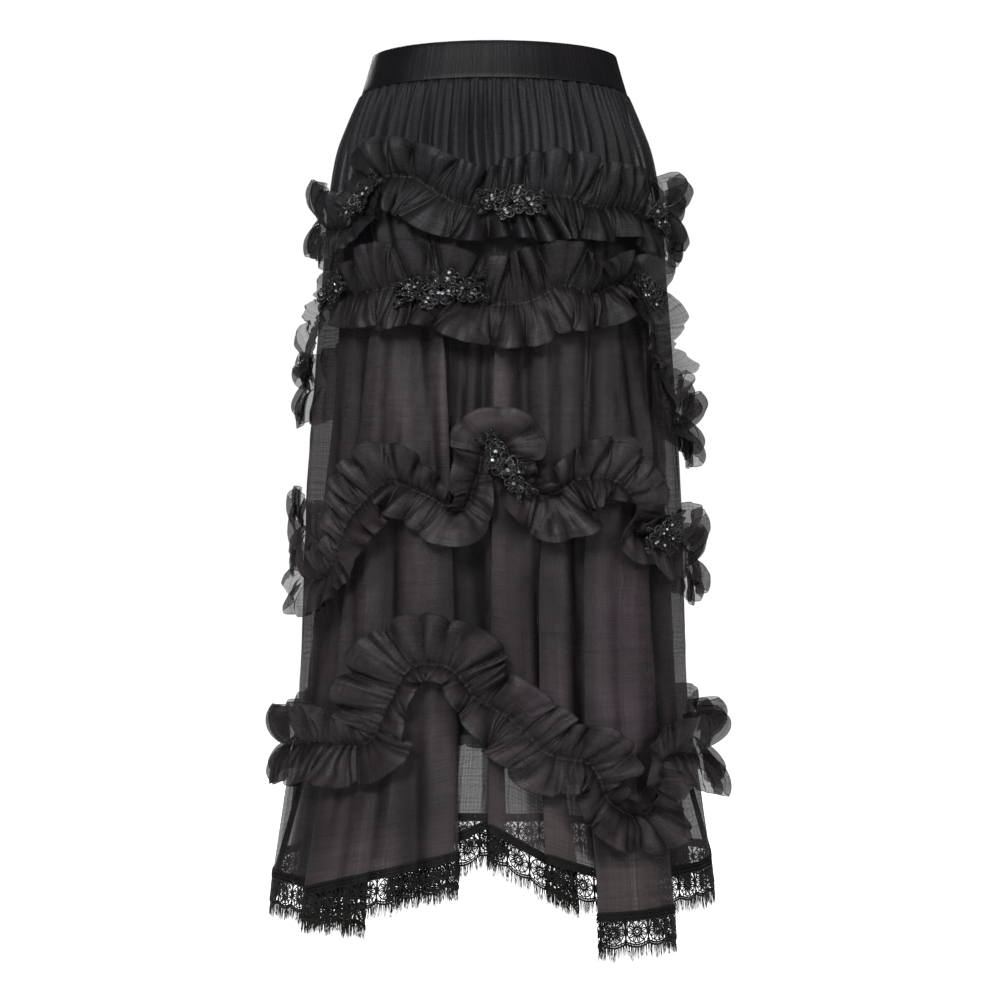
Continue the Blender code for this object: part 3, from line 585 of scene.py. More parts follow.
def ruffleGrid(bends, under, seed):
    look = ruffleLook
    line, even = gatherLine(bends)
    inside = np.minimum(even, even[-1] - even)
    ahead = blurred(np.gradient(line[:, :2], axis=0), 9)
    ends = ease(0, 0.030, inside)[:, None]
    away = np.stack([ahead[:, 1], -ahead[:, 0]], 1)
    away = away / np.linalg.norm(away, axis=1)[:, None] * ends + np.array([0, -1]) * (1 - ends)
    away /= np.linalg.norm(away, axis=1)[:, None]
    beside = np.stack([-away[:, 1], away[:, 0]], 1)
    bend = np.gradient(np.unwrap(np.arctan2(away[:, 1], away[:, 0])), even)
    waveLength = look["wave"] + look["waveSpread"] * softNoise(even / 0.055, seed)
    turns = np.concatenate([[0], np.cumsum(np.diff(even) / waveLength[1:])])
    phase = 2 * np.pi * turns * round(turns[-1]) / turns[-1] + np.pi
    settled = ease(0, 0.018, inside)
    rows, across = [], []
    for side in (1, -1):
        width = blurred(line[:, 2] if side > 0 else line[:, 3], 6)
        closing = np.maximum(-bend * side, 0)
        opening = np.maximum(bend * side, 0)
        limit = look["widestForBend"] / np.maximum(closing, 1e-6)
        width = blurred(np.minimum(width, limit), 8)
        pinched = np.clip(width * closing, 0, 1)
        myPhase = phase + (0.5 * np.pi * (1 - side) * 0.7 + 0.9 * softNoise(even / 0.05, seed + 5 + side)) * settled
        crest = 0.5 + 0.5 * np.cos(myPhase)
        height = line[:, 4] * (1 + 0.35 * softNoise(even / 0.04, seed + 11 + side) * settled)
        height = height * (1.12 if side > 0 else 0.92) * (1 + 0.3 * softNoise(even / 0.11, seed + 71 + side))
        size = 1 + 0.15 * softNoise(even / 0.034, seed + 21 + side) * settled
        drift = look["drift"] * softNoise(even / 0.038, seed + 61 + side) * settled
        rolled = np.clip(0.35 + softNoise(even / 0.045, seed + 81 + side), 0, 1)
        sideways = 90 - np.abs(np.degrees(line[:, 0] / form["rollRadius"]) % 180 - 90)
        atSide = ease(50, 74, sideways)
        height = height * (1 - 0.22 * atSide)
        # where a strip opens into a fan, sharp pleats run out from its line
        pleats = even / look["fanPleat"] + 0.5 * softNoise(even / 0.012, seed + 91 + side)
        valley = (1 - np.abs(np.sin(np.pi * pleats))) ** 1.4
        valley = valley * np.clip(1.8 * (opening * width - 0.30), 0, 1) * (0.7 + 0.3 * softNoise(pleats, seed + 95))
        shares = np.linspace(1, 0, look["across"] + 1)
        for t in (shares if side > 0 else shares[::-1][1:]):
            r = width * t * size * (1.05 - look["lobe"] * (1 - np.abs(np.cos(myPhase / 2)) ** 0.7) * t)
            r = r * (1 - 0.07 * t * valley)
            swing = look["tuck"] * t**1.25 * waveLength / (2 * np.pi) * np.sin(myPhase) * (1 - 0.8 * pinched)
            swing = swing * settled * (1 + 0.5 * np.clip(opening * width, 0, 0.8)) + drift * t**1.3
            puff = 0.42 * np.sin(0.5 * np.pi * t) + 0.58 * t**1.5 - look["curl"] * rolled * t**4
            loop = np.sin(0.5 * np.pi * t) ** 0.6 * (1 - 0.34 * t**4)
            puff = puff * (1 - atSide) + loop * atSide
            low = 0.08 + 0.24 * (1 - t)
            lift = height * puff * (low + (1 - low) * crest**1.5)
            lift = (lift + 0.004 * t * valley.max()) * (1 - 0.72 * valley)
            ray = even + 0.0016 * softNoise2(even / 0.012, t * 3 + 5 + 0 * even, seed + 3)
            creased = 2 * np.abs(softNoise(ray / look["creaseWave"], seed + 31 + side))
            creased = creased + np.abs(softNoise(ray / look["creaseWave"] * 2.3, seed + 35 + side))
            lift = lift + look["radialCrease"] * t**0.6 * (1 - 0.55 * t) * settled * creased
            fine = softNoise(ray / look["gatherWave"], seed + 41) + 0.5 * softNoise(ray / 0.0014, seed + 42)
            lift = lift + look["gatherHeight"] * np.exp(-((t / 0.40) ** 2)) * (0.4 + t) * (1.2 + fine) * settled
            crumpled = 1 + softNoise2(even / 0.007 + 50, t * 4 + 9 + 0 * even, seed)
            lift = lift + look["crumple"] * t * crumpled * settled
            flat = line[:, :2] + away * (side * r)[:, None] + beside * swing[:, None]
            turn = np.degrees(flat[:, 0] / form["rollRadius"])
            rest = under.at(turn, flat[:, 1]) + form["clothWall"] + look["clear"]
            rows.append(place(turn, flat[:, 1], rest + lift))
            across.append(side * t)
    return np.array(rows), even, np.array(across)


underRuffles = Reach(skirtGrids.values(), 5, 2)
ruffles = {}
for tier, tables in enumerate(zip(ruffleFronts, ruffleBacks), 1):
    for half, bends in zip(("front", "back"), tables):
        trimmed = list(bends)
        trimmed[0] = bends[0]._replace(turn=bends[0].turn + gap)
        trimmed[-1] = bends[-1]._replace(turn=bends[-1].turn - gap)
        ruffles[f"ruffle_{tier}_{half}"] = ruffleGrid(trimmed, underRuffles, 10 * tier + (half == "back"))
print("ruffles shaped")


# materials

def addNode(tree, kind, inputs=None, **settings):
    node = tree.nodes.new(kind)
    for name, value in settings.items():
        setattr(node, name, value)
    for key, value in (inputs or {}).items():
        if isinstance(value, bpy.types.NodeSocket):
            tree.links.new(value, node.inputs[key])
        else:
            node.inputs[key].default_value = value
    return node


def doMath(tree, operation, *values):
    return addNode(tree, "ShaderNodeMath", dict(enumerate(values)), operation=operation).outputs[0]


def spread(tree, value, low, high, toLow=0.0, toHigh=1.0):
    inputs = {"Value": value, "From Min": low, "From Max": high, "To Min": toLow, "To Max": toHigh}
    return addNode(tree, "ShaderNodeMapRange", inputs).outputs[0]


def mixColours(tree, amount, first, second):
    node = addNode(tree, "ShaderNodeMix", data_type="RGBA")
    for socket, value in zip((node.inputs[0], node.inputs[6], node.inputs[7]), (amount, first, second)):
        if isinstance(value, bpy.types.NodeSocket):
            tree.links.new(value, socket)
        else:
            socket.default_value = value
    return node.outputs[2]


def newGroup(name, kind, inputs, outputs):
    tree = bpy.data.node_groups.new(name, kind)
    for direction, sockets in (("INPUT", inputs), ("OUTPUT", outputs)):
        for title, socketType in sockets:
            tree.interface.new_socket(name=title, in_out=direction, socket_type=socketType)
    return tree, addNode(tree, "NodeGroupInput"), addNode(tree, "NodeGroupOutput")


def weaveGroup():
    # crossing threads of uneven thickness, laid along the flat cloth
    numbers = [(title, "NodeSocketFloat") for title in ("Threads", "Slub", "Density")]
    results = [(title, "NodeSocketFloat") for title in ("Cover", "Tone", "Height")]
    tree, start, end = newGroup("weave", "ShaderNodeTree", [("Flat", "NodeSocketVector")] + numbers, results)
    flat, threads, slub, density = (start.outputs[k] for k in range(4))
    parts = addNode(tree, "ShaderNodeSeparateXYZ", {0: flat})
    wander = addNode(tree, "ShaderNodeTexNoise", {"Vector": flat, "Scale": 34.0, "Detail": 2.0})
    shift = doMath(tree, "MULTIPLY", doMath(tree, "SUBTRACT", wander.outputs[0], 0.5), 0.006)
    coarse = []
    for axis, ratio in ((0, 1.0), (1, 0.86)):
        along = doMath(tree, "ADD", parts.outputs[axis], shift)
        scale = doMath(tree, "MULTIPLY", threads, ratio)
        inputs = {"W": along, "Scale": scale, "Detail": 3.0, "Roughness": 0.75}
        line = addNode(tree, "ShaderNodeTexNoise", inputs, noise_dimensions="1D")
        coarse.append(spread(tree, line.outputs[0], 0.40, 0.72))
    both = doMath(tree, "ADD", *coarse)
    cover = doMath(tree, "ADD", density, doMath(tree, "MULTIPLY", both, slub))
    tree.links.new(doMath(tree, "MINIMUM", cover, 0.98), end.inputs[0])
    tree.links.new(doMath(tree, "MAXIMUM", *coarse), end.inputs[1])
    tree.links.new(both, end.inputs[2])
    return tree


weave = weaveGroup()


def newMaterial(name, sockets):
    material = bpy.data.materials.new(name)
    material.use_nodes = True
    tree = material.node_tree
    shader = tree.nodes["Principled BSDF"]
    for key, value in sockets.items():
        shader.inputs[key].default_value = value
    return material, tree, shader


def addBump(tree, shader, height, distance, strength):
    inputs = {"Height": height, "Distance": distance, "Strength": strength}
    tree.links.new(addNode(tree, "ShaderNodeBump", inputs).outputs[0], shader.inputs["Normal"])


Sheen = namedtuple("Sheen", "x y z reach")
Area = namedtuple("Area", "x y z reach gain")
organzaLook = {
    "dark": (0.0085, 0.0066, 0.0070, 1),
    # the colour of the painted shade, in hollows and by the gather lines
    "deep": (0.0040, 0.0027, 0.0030, 1),
    "pale": (0.064, 0.050, 0.052, 1),
    "cool": (0.025, 0.025, 0.031, 1),
    "plumSheen": (0.088, 0.064, 0.082, 1),
    "edge": (0.006, 0.0055, 0.006, 1),
    # where the cloth shows a painted plum sheen
    "paintedSheens": [
        Sheen(0.128, -0.150, -0.560, 0.060),
        Sheen(0.130, -0.150, -0.650, 0.060),
        Sheen(0.045, -0.170, -0.640, 0.040),
    ],
    # broad areas that lie in shade, with a gain under 1, or catch the light
    "areas": [
        Area(-0.190, -0.09, -0.77, 0.09, 0.35),
        Area(-0.090, -0.17, -0.73, 0.07, 0.40),
        Area(-0.130, -0.16, -0.60, 0.05, 0.55),
        Area(0.070, -0.13, -0.17, 0.06, 0.65),
        Area(0.110, -0.13, -0.33, 0.07, 0.65),
        Area(-0.030, -0.16, -0.34, 0.09, 2.00),
        Area(0.050, -0.12, -0.08, 0.06, 1.60),
        Area(0.110, -0.16, -0.81, 0.10, 1.45),
        Area(0.130, -0.06, -0.10, 0.07, 0.60),
        Area(-0.140, -0.14, -0.81, 0.06, 1.45),
        Area(0.030, -0.17, -0.56, 0.08, 0.80),
        Area(0.040, -0.17, -0.75, 0.06, 1.25),
    ],
}


def distanceFrom(tree, where, spot):
    inputs = {0: where, 1: (spot.x, spot.y, spot.z)}
    return addNode(tree, "ShaderNodeVectorMath", inputs, operation="DISTANCE").outputs["Value"]


def organza(name, density, slub, threads, turnedEdge=0.0, brightness=1.0):
    sockets = {
        "Roughness": 0.48, "Specular IOR Level": 0.30, "Sheen Weight": 0.010, "Sheen Roughness": 0.4,
    }
    material, tree, shader = newMaterial(name, sockets)
    flat = addNode(tree, "ShaderNodeUVMap", uv_map="cloth").outputs[0]
    inputs = {"Flat": flat, "Threads": threads, "Slub": slub, "Density": density}
    cloth = addNode(tree, "ShaderNodeGroup", inputs, node_tree=weave)
    where = addNode(tree, "ShaderNodeTexCoord").outputs["Object"]
    height = addNode(tree, "ShaderNodeSeparateXYZ", {0: where}).outputs[2]
    patches = addNode(tree, "ShaderNodeTexNoise", {"Vector": where, "Scale": 7.0, "Detail": 3.0})
    upper = spread(tree, height, -0.42, -0.12)
    pale = mixColours(tree, upper, organzaLook["pale"], organzaLook["cool"])
    # painted plum sheen: in soft random patches low on the cloth, and around the listed spots
    patchy = spread(tree, patches.outputs[0], 0.48, 0.70, 0.0, 0.4)
    plumSheenShare = doMath(tree, "MULTIPLY", patchy, spread(tree, height, -0.25, -0.45))
    for spot in organzaLook["paintedSheens"]:
        away = distanceFrom(tree, where, spot)
        nearby = spread(tree, away, spot.reach, spot.reach * 0.25, 0.0, 0.9)
        plumSheenShare = doMath(tree, "MAXIMUM", plumSheenShare, nearby)
    pale = mixColours(tree, plumSheenShare, pale, organzaLook["plumSheen"])
    tone = spread(tree, cloth.outputs["Tone"], 0.0, 1.0, 0.92 * brightness, 0.44 * brightness)
    # the watered grain runs across the cloth
    inputs = {0: flat, 1: (16.0, 190.0, 1.0)}
    stretched = addNode(tree, "ShaderNodeVectorMath", inputs, operation="MULTIPLY").outputs[0]
    inputs = {"Vector": stretched, "Scale": 1.0, "Detail": 2.0, "Distortion": 1.4}
    watered = addNode(tree, "ShaderNodeTexNoise", inputs)
    tone = doMath(tree, "MULTIPLY", tone, spread(tree, watered.outputs[0], 0.35, 0.65, 0.78, 1.10))
    colour = mixColours(tree, tone, organzaLook["dark"], pale)
    for spot in organzaLook["areas"]:
        inputs = {
            "Value": distanceFrom(tree, where, spot), "From Min": spot.reach, "From Max": spot.reach * 0.2,
            "To Min": 1.0, "To Max": spot.gain,
        }
        soft = addNode(tree, "ShaderNodeMapRange", inputs, interpolation_type="SMOOTHSTEP")
        lit = addNode(tree, "ShaderNodeVectorMath", {0: colour}, operation="SCALE")
        tree.links.new(soft.outputs[0], lit.inputs["Scale"])
        colour = lit.outputs[0]
    # painted shade, darkest in the hollows, just below the frills and in the valleys between pleats
    hollow = addNode(tree, "ShaderNodeAttribute", attribute_name="hollow").outputs["Fac"]
    colour = mixColours(tree, spread(tree, hollow, 0.04, 0.85, 0.0, 0.88), colour, organzaLook["deep"])
    # what one layer lets through, as many times as layers lie here
    folded = addNode(tree, "ShaderNodeAttribute", attribute_name="layers").outputs["Fac"]
    clear = doMath(tree, "SUBTRACT", 1.0, cloth.outputs["Cover"])
    clear = doMath(tree, "POWER", clear, doMath(tree, "ADD", folded, 1.0))
    cover = doMath(tree, "SUBTRACT", 1.0, clear)
    if turnedEdge:
        # painted shade in dark streaks by the gather line, and a turned edge
        parts = addNode(tree, "ShaderNodeSeparateXYZ", {0: flat})
        across = doMath(tree, "ABSOLUTE", parts.outputs[1])
        inputs = {"W": parts.outputs[0], "Scale": 260.0, "Detail": 3.0}
        streaks = addNode(tree, "ShaderNodeTexNoise", inputs, noise_dimensions="1D")
        gatherStreakShade = spread(tree, streaks.outputs[0], 0.40, 0.62)
        gathered = doMath(tree, "MULTIPLY", gatherStreakShade, spread(tree, across, 0.002, 0.022, 0.9, 0.0))
        colour = mixColours(tree, gathered, colour, organzaLook["deep"])
        edge = spread(tree, across, turnedEdge - 0.0016, turnedEdge - 0.0006)
        colour = mixColours(tree, edge, colour, organzaLook["edge"])
        cover = doMath(tree, "MAXIMUM", cover, doMath(tree, "MULTIPLY", edge, 0.93))
    tree.links.new(colour, shader.inputs["Base Color"])
    tree.links.new(cover, shader.inputs["Alpha"])
    addBump(tree, shader, cloth.outputs["Height"], 0.0004, 0.35)
    return material


def cordMaterial(name, colour, roughness, twist, coat=0.0):
    sockets = {"Roughness": roughness, "Specular IOR Level": 0.25, "Coat Weight": coat, "Coat Roughness": 0.1}
    material, tree, shader = newMaterial(name, sockets)
    where = addNode(tree, "ShaderNodeTexCoord").outputs["Object"]
    strands = addNode(tree, "ShaderNodeTexNoise", {"Vector": where, "Scale": twist, "Detail": 3.0})
    tint = spread(tree, strands.outputs[0], 0.3, 0.7, 0.55, 1.5)
    scaled = addNode(tree, "ShaderNodeVectorMath", {0: colour[:3]}, operation="SCALE")
    tree.links.new(tint, scaled.inputs["Scale"])
    tree.links.new(scaled.outputs[0], shader.inputs["Base Color"])
    addBump(tree, shader, strands.outputs[0], 0.0003, 0.5)
    return material


def bandMaterial():
    material, tree, shader = newMaterial("bandSatin", {"Roughness": 0.36, "Specular IOR Level": 0.22})
    flat = addNode(tree, "ShaderNodeUVMap", uv_map="cloth").outputs[0]
    parts = addNode(tree, "ShaderNodeSeparateXYZ", {0: flat})
    inputs = {"W": parts.outputs[0], "Scale": 620.0, "Detail": 4.0, "Roughness": 0.8}
    ribs = addNode(tree, "ShaderNodeTexNoise", inputs, noise_dimensions="1D")
    inputs = {"W": parts.outputs[1], "Scale": 900.0, "Detail": 2.0}
    wefts = addNode(tree, "ShaderNodeTexNoise", inputs, noise_dimensions="1D")
    where = addNode(tree, "ShaderNodeTexCoord").outputs["Object"]
    clouds = addNode(tree, "ShaderNodeTexNoise", {"Vector": where, "Scale": 16.0, "Detail": 2.0})
    rib = spread(tree, ribs.outputs[0], 0.3, 0.72)
    share = doMath(tree, "MULTIPLY", rib, spread(tree, clouds.outputs[0], 0.35, 0.65, 0.35, 1.0))
    colour = mixColours(tree, share, (0.0035, 0.0035, 0.004, 1), (0.022, 0.019, 0.024, 1))
    tree.links.new(colour, shader.inputs["Base Color"])
    height = doMath(tree, "ADD", rib, doMath(tree, "MULTIPLY", wefts.outputs[0], 0.3))
    addBump(tree, shader, height, 0.0003, 0.5)
    return material


def liningMaterial():
    material, tree, shader = newMaterial("liningCloth", {"Roughness": 0.72, "Specular IOR Level": 0.12})
    flat = addNode(tree, "ShaderNodeUVMap", uv_map="cloth").outputs[0]
    cloth = addNode(tree, "ShaderNodeGroup", {"Flat": flat, "Threads": 900.0}, node_tree=weave)
    colour = mixColours(tree, cloth.outputs["Tone"], (0.004, 0.004, 0.0045, 1), (0.009, 0.0085, 0.010, 1))
    tree.links.new(colour, shader.inputs["Base Color"])
    addBump(tree, shader, cloth.outputs["Height"], 0.0003, 0.3)
    return material


finishes = {
    "skirt": organza("skirtOrganza", 0.50, 0.15, 480.0),
    "ruffle": organza("ruffleOrganza", 0.58, 0.13, 520.0, turnedEdge=0.039, brightness=0.85),
    "band": bandMaterial(),
    "lining": liningMaterial(),
    "lace": cordMaterial("laceCord", (0.010, 0.0095, 0.009, 1), 0.50, 900.0),
    "fringe": cordMaterial("fringeThread", (0.016, 0.0145, 0.013, 1), 0.55, 700.0),
    "cord": cordMaterial("flowerCord", (0.008, 0.008, 0.0085, 1), 0.34, 700.0, 0.8),
    "bead": cordMaterial("jetBead", (0.006, 0.006, 0.007, 1), 0.12, 300.0, 1.0),
    "thread": cordMaterial("gatherThread", (0.004, 0.004, 0.0045, 1), 0.6, 900.0),
}
# the stones glow faintly: a painted glint on top of their metal reflections
stoneMaterial, stoneTree, stoneShader = newMaterial("stone", {
    "Metallic": 1.0, "Roughness": 0.16, "Emission Color": (0.9, 0.92, 1.0, 1), "Emission Strength": 0.16,
})
stoneWhere = addNode(stoneTree, "ShaderNodeTexCoord").outputs["Object"]
stoneCells = addNode(stoneTree, "ShaderNodeTexVoronoi", {"Vector": stoneWhere, "Scale": 900.0})
stoneShade = mixColours(stoneTree, stoneCells.outputs["Distance"], (0.9, 0.9, 0.95, 1), (0.25, 0.26, 0.30, 1))
stoneTree.links.new(stoneShade, stoneShader.inputs["Base Color"])
finishes["stone"] = stoneMaterial
print("materials made")


# the cloth pieces

# how many more layers of the folded cloth lie behind a turn, in its lower part
Layers = namedtuple("Layers", "turn more")
foldedLayers = {
    "front": [
        Layers(-90, 0.1),
        Layers(-71, 0.1),
        Layers(-66, 3.4),
        Layers(-58, 3.0),
        Layers(-42, 2.4),
        Layers(-37, 4.6),
        Layers(-29, 4.4),
        Layers(-25, 2.4),
        Layers(-14, 2.4),
        Layers(-12.2, 2.0),
        Layers(-11.4, 0.0),
        Layers(-3.6, 0.0),
        Layers(-3.0, 2.0),
        Layers(2.2, 2.2),
        Layers(2.6, 0.5),
        Layers(9.5, 0.5),
        Layers(11.5, 2.0),
        Layers(28, 2.4),
        Layers(32, 4.4),
        Layers(40, 4.6),
        Layers(43, 2.2),
        Layers(46, 0.9),
        Layers(70, 0.4),
        Layers(90, 0.2),
    ],
    "back": [
        Layers(90, 0.3),
        Layers(130, 0.6),
        Layers(180, 0.8),
        Layers(230, 0.6),
        Layers(270, 0.8),
    ],
}
layersAbove = {"front": 0.95, "back": 0.45}
layersChange = (0.56, 0.66)     # the drops between which one goes over to the other


def addLayers(mesh, grid, half, drops):
    turn = np.degrees(np.arctan2(grid[..., 0], -grid[..., 1]))
    if half == "back":
        turn = turn % 360
    rows = np.array(foldedLayers[half], float)
    low = np.interp(turn, rows[:, 0], rows[:, 1])
    share = ease(*layersChange, np.array(drops))[:, None]
    values = low * share + layersAbove[half] * (1 - share)
    layer = mesh.attributes.new("layers", "FLOAT", "POINT")
    layer.data.foreach_set("value", values.astype(np.float32).ravel())


hollowShadeLook = {
    "underRuffles": 0.016,      # the depth that is darkest, on the overskirt
    "aroundRuffles": 0.024,     # and on the ruffles
    "valley": 0.34,             # and in a valley between pleats, as a share of that
    "valleyColumns": 5,
    "shadeBelow": 0.014,
    "shadeFrom": 0.008,
    "shadeOver": 0.020,
    "shadeMost": 0.6,
}


def addHollowShade(mesh, grid, reach, deepest, near=0, frills=None):
    # how deep each point lies behind the cloth around it, from 0 to 1, as the amount of painted shade
    look = hollowShadeLook
    turn, drop, out = whereOnSkirt(grid)
    values = (reach.at(turn, drop) - out) / deepest
    if frills:
        # and in the shade just below a frill
        above = frills.at(turn, drop - look["shadeBelow"]) - out
        shade = np.clip((above - look["shadeFrom"]) / look["shadeOver"], 0, 1)
        values = np.maximum(values, look["shadeMost"] * shade)
    if near:
        # and in the narrow valleys between pleats, this many columns apart
        crests = np.max([np.roll(out, k, 1) for k in range(-near, near + 1)], 0)
        crests = blurred(crests.T, near).T
        values = np.maximum(values, (crests - out) / (look["valley"] * deepest))
    layer = mesh.attributes.new("hollow", "FLOAT", "POINT")
    layer.data.foreach_set("value", np.clip(values, 0, 1).astype(np.float32).ravel())


def addRuffleLayers(mesh, grid):
    # the doubled cloth thins out where the frills stand out at the sides
    turn = np.degrees(np.arctan2(grid[..., 0], -grid[..., 1]))
    beside = np.abs(np.abs(turn) - 90)
    layer = mesh.attributes.new("layers", "FLOAT", "POINT")
    layer.data.foreach_set("value", ease(14, 34, beside).astype(np.float32).ravel())


aroundRuffles = Reach([grid for grid, even, across in ruffles.values()], 2, 3)

pieces = {}
backStart = 2.0     # the back cloth's place on the flat, clear of the front's
liningLook = {"rows": 60, "columns": 121, "hem": 0.674, "inside": 0.0004, "fold": 0.0016, "tucked": 0.0172}
for half, grid in skirtGrids.items():
    columns = cutColumns[half]
    hem = stepLengths(belowHem(columns, [0])[0])
    across = np.linspace(0, hem[-1], grid.shape[1]) + (half == "back") * backStart
    down = -np.array(clothDrops)[:, None]
    mesh = sheetMesh(f"overskirt_{half}_cloth", grid, across, down)
    addLayers(mesh, grid, half, clothDrops)
    addHollowShade(mesh, grid, underRuffles, hollowShadeLook["underRuffles"], frills=aroundRuffles)
    piece = pieceFrom(mesh.name, mesh, finishes["skirt"], [f"overskirt_{half}"])

    liningDrops = np.linspace(form["topDrop"], liningLook["hem"], liningLook["rows"])
    turns = np.linspace(*spans[half], liningLook["columns"])
    soft = liningLook["fold"] * softNoise(turns / 9 + 7, 51)
    lining = np.array([
        place(turns, drop + 0 * turns, -soft * ease(0.05, 0.5, drop) - liningLook["inside"], liningSections)
        for drop in liningDrops
    ])
    # the top edge is tucked into the band
    lining[0] = place(turns, liningLook["tucked"] + 0 * turns, -liningLook["inside"], liningSections)
    width = np.linspace(0, stepLengths(lining[-1])[-1], liningLook["columns"])
    mesh = sheetMesh(f"lining_{half}_cloth", lining, width, -liningDrops[:, None])
    piece = pieceFrom(mesh.name, mesh, finishes["lining"], [f"lining_{half}"])

for name, (grid, even, across) in ruffles.items():
    cutWidth = ruffleLook["cutWidth"]
    mesh = sheetMesh(name + "_cloth", grid, even, cutWidth / 2 * across[:, None])
    addHollowShade(mesh, grid, aroundRuffles, hollowShadeLook["aroundRuffles"], near=hollowShadeLook["valleyColumns"])
    addRuffleLayers(mesh, grid)
    piece = pieceFrom(mesh.name, mesh, finishes["ruffle"], [name])
    pieces[name] = piece

bandLook = {"wall": 0.0030, "edge": 0.0009, "columns": 96}
for half, (first, last) in spans.items():
    drops = np.linspace(-0.020, 0.0196, 9)
    turns = np.linspace(first, last, bandLook["columns"] + 1)
    grid = np.array([place(turns, np.full(len(turns), drop), 0, bandSections) for drop in drops])
    mesh = sheetMesh(f"waistband_{half}_cloth", grid, stepLengths(grid[4]), -drops[:, None])
    piece = pieceFrom(mesh.name, mesh, finishes["band"], [f"waistband_{half}"])
    wall = piece.modifiers.new("wall", "SOLIDIFY")
    wall.thickness, wall.offset = bandLook["wall"], 0
    rounded = piece.modifiers.new("rounded", "BEVEL")
    rounded.width, rounded.segments, rounded.limit_method = bandLook["edge"], 3, "ANGLE"
print("cloth pieces made")


# trimmings are laid out flat, in metres, and wrapped onto a cloth by its UV map

class Pile:
    # faces gathered for one mesh
    def __init__(self):
        self.points, self.faces = [], []

    def add(self, points, faces):
        first = len(self.points)
        self.points += [tuple(point) for point in points]
        self.faces += [tuple(first + k for k in face) for face in faces]

    def cord(self, line, radius, sides=3, closed=False):
        line = np.asarray(line, float)
        count = len(line)
        ahead = np.roll(line, -1, 0) - np.roll(line, 1, 0)
        if not closed:
            ahead[0], ahead[-1] = line[1] - line[0], line[-1] - line[-2]
        ahead /= np.linalg.norm(ahead, axis=1)[:, None] + 1e-12
        beside = np.stack([-ahead[:, 1], ahead[:, 0], 0 * ahead[:, 0]], 1)
        radius = np.broadcast_to(radius, count)
        points = []
        for k in range(count):
            for corner in range(sides):
                angle = 2 * np.pi * corner / sides + np.pi / 6
                lift = np.array([0, 0, np.sin(angle) * 0.8])
                points.append(line[k] + radius[k] * (beside[k] * np.cos(angle) + lift))
        faces = []
        for k in range(count if closed else count - 1):
            for corner in range(sides):
                a, b = k * sides + corner, k * sides + (corner + 1) % sides
                c, d = ((k + 1) % count) * sides + (corner + 1) % sides, ((k + 1) % count) * sides + corner
                faces.append((a, b, c, d))
        if not closed:
            faces += [tuple(range(sides))[::-1], tuple((count - 1) * sides + k for k in range(sides))]
        self.add(points, faces)

    def asObject(self, name):
        mesh = bpy.data.meshes.new(name)
        mesh.from_pydata(self.points, [], self.faces)
        shape = bmesh.new()
        shape.from_mesh(mesh)
        bmesh.ops.recalc_face_normals(shape, faces=shape.faces)
        shape.to_mesh(mesh)
        shape.free()
        mesh.shade_smooth()
        return bpy.data.objects.new(name, mesh)


def wrapGroup():
    # moves flat things to where their x and y lie on a cloth's UV map, z along its normal
    inputs = [("Flat", "NodeSocketGeometry"), ("Cloth", "NodeSocketObject"), ("Lift", "NodeSocketFloat")]
    tree, start, end = newGroup("wrapOnCloth", "GeometryNodeTree", inputs, [("Wrapped", "NodeSocketGeometry")])
    cloth = addNode(tree, "GeometryNodeObjectInfo", {"Object": start.outputs["Cloth"]}).outputs["Geometry"]
    uv = addNode(tree, "GeometryNodeInputNamedAttribute", {"Name": "cloth"}, data_type="FLOAT_VECTOR").outputs[0]
    here = addNode(tree, "GeometryNodeInputPosition").outputs[0]
    normal = addNode(tree, "GeometryNodeInputNormal").outputs[0]
    found = []
    for value in (here, normal):
        node = addNode(tree, "GeometryNodeSampleUVSurface", data_type="FLOAT_VECTOR")
        for socket, source in zip(node.inputs, (cloth, value, uv, here)):
            tree.links.new(source, socket)
        found.append(node.outputs[0])
    height = addNode(tree, "ShaderNodeSeparateXYZ", {0: here}).outputs[2]
    outward = addNode(tree, "ShaderNodeVectorMath", {0: found[1]}, operation="NORMALIZE").outputs[0]
    raised = addNode(tree, "ShaderNodeVectorMath", {0: outward}, operation="SCALE")
    tree.links.new(doMath(tree, "ADD", height, start.outputs["Lift"]), raised.inputs["Scale"])
    spot = addNode(tree, "ShaderNodeVectorMath", {0: found[0], 1: raised.outputs[0]}, operation="ADD").outputs[0]
    moved = addNode(tree, "GeometryNodeSetPosition", {"Geometry": start.outputs["Flat"], "Position": spot})
    tree.links.new(moved.outputs[0], end.inputs[0])
    return tree


wrapOnCloth = wrapGroup()
common = [("Cloth", "NodeSocketObject"), ("Lift", "NodeSocketFloat"), ("Finish", "NodeSocketMaterial")]


def finishTree(tree, start, end, flat):
    whole = addNode(tree, "GeometryNodeRealizeInstances", {0: flat}).outputs[0]
    inputs = {"Flat": whole, "Cloth": start.outputs["Cloth"], "Lift": start.outputs["Lift"]}
    wrap = addNode(tree, "GeometryNodeGroup", inputs, node_tree=wrapOnCloth)
    inputs = {"Geometry": wrap.outputs[0], "Material": start.outputs["Finish"]}
    finished = addNode(tree, "GeometryNodeSetMaterial", inputs)
    smoothed = addNode(tree, "GeometryNodeSetShadeSmooth", {"Geometry": finished.outputs[0], "Shade Smooth": True})
    tree.links.new(smoothed.outputs[0], end.inputs[0])
    return tree


def laidTree():
    # one flat thing, wrapped where it lies
    inputs = common + [("Thing", "NodeSocketObject")]
    tree, start, end = newGroup("laidOnCloth", "GeometryNodeTree", inputs, [("Geometry", "NodeSocketGeometry")])
    thing = addNode(tree, "GeometryNodeObjectInfo", {"Object": start.outputs["Thing"]}).outputs["Geometry"]
    return finishTree(tree, start, end, thing)


def randomBetween(tree, seed, low, high):
    node = addNode(tree, "FunctionNodeRandomValue", {"Seed": seed}, data_type="FLOAT")
    node.inputs[2].default_value, node.inputs[3].default_value = low, high
    return node.outputs[1]


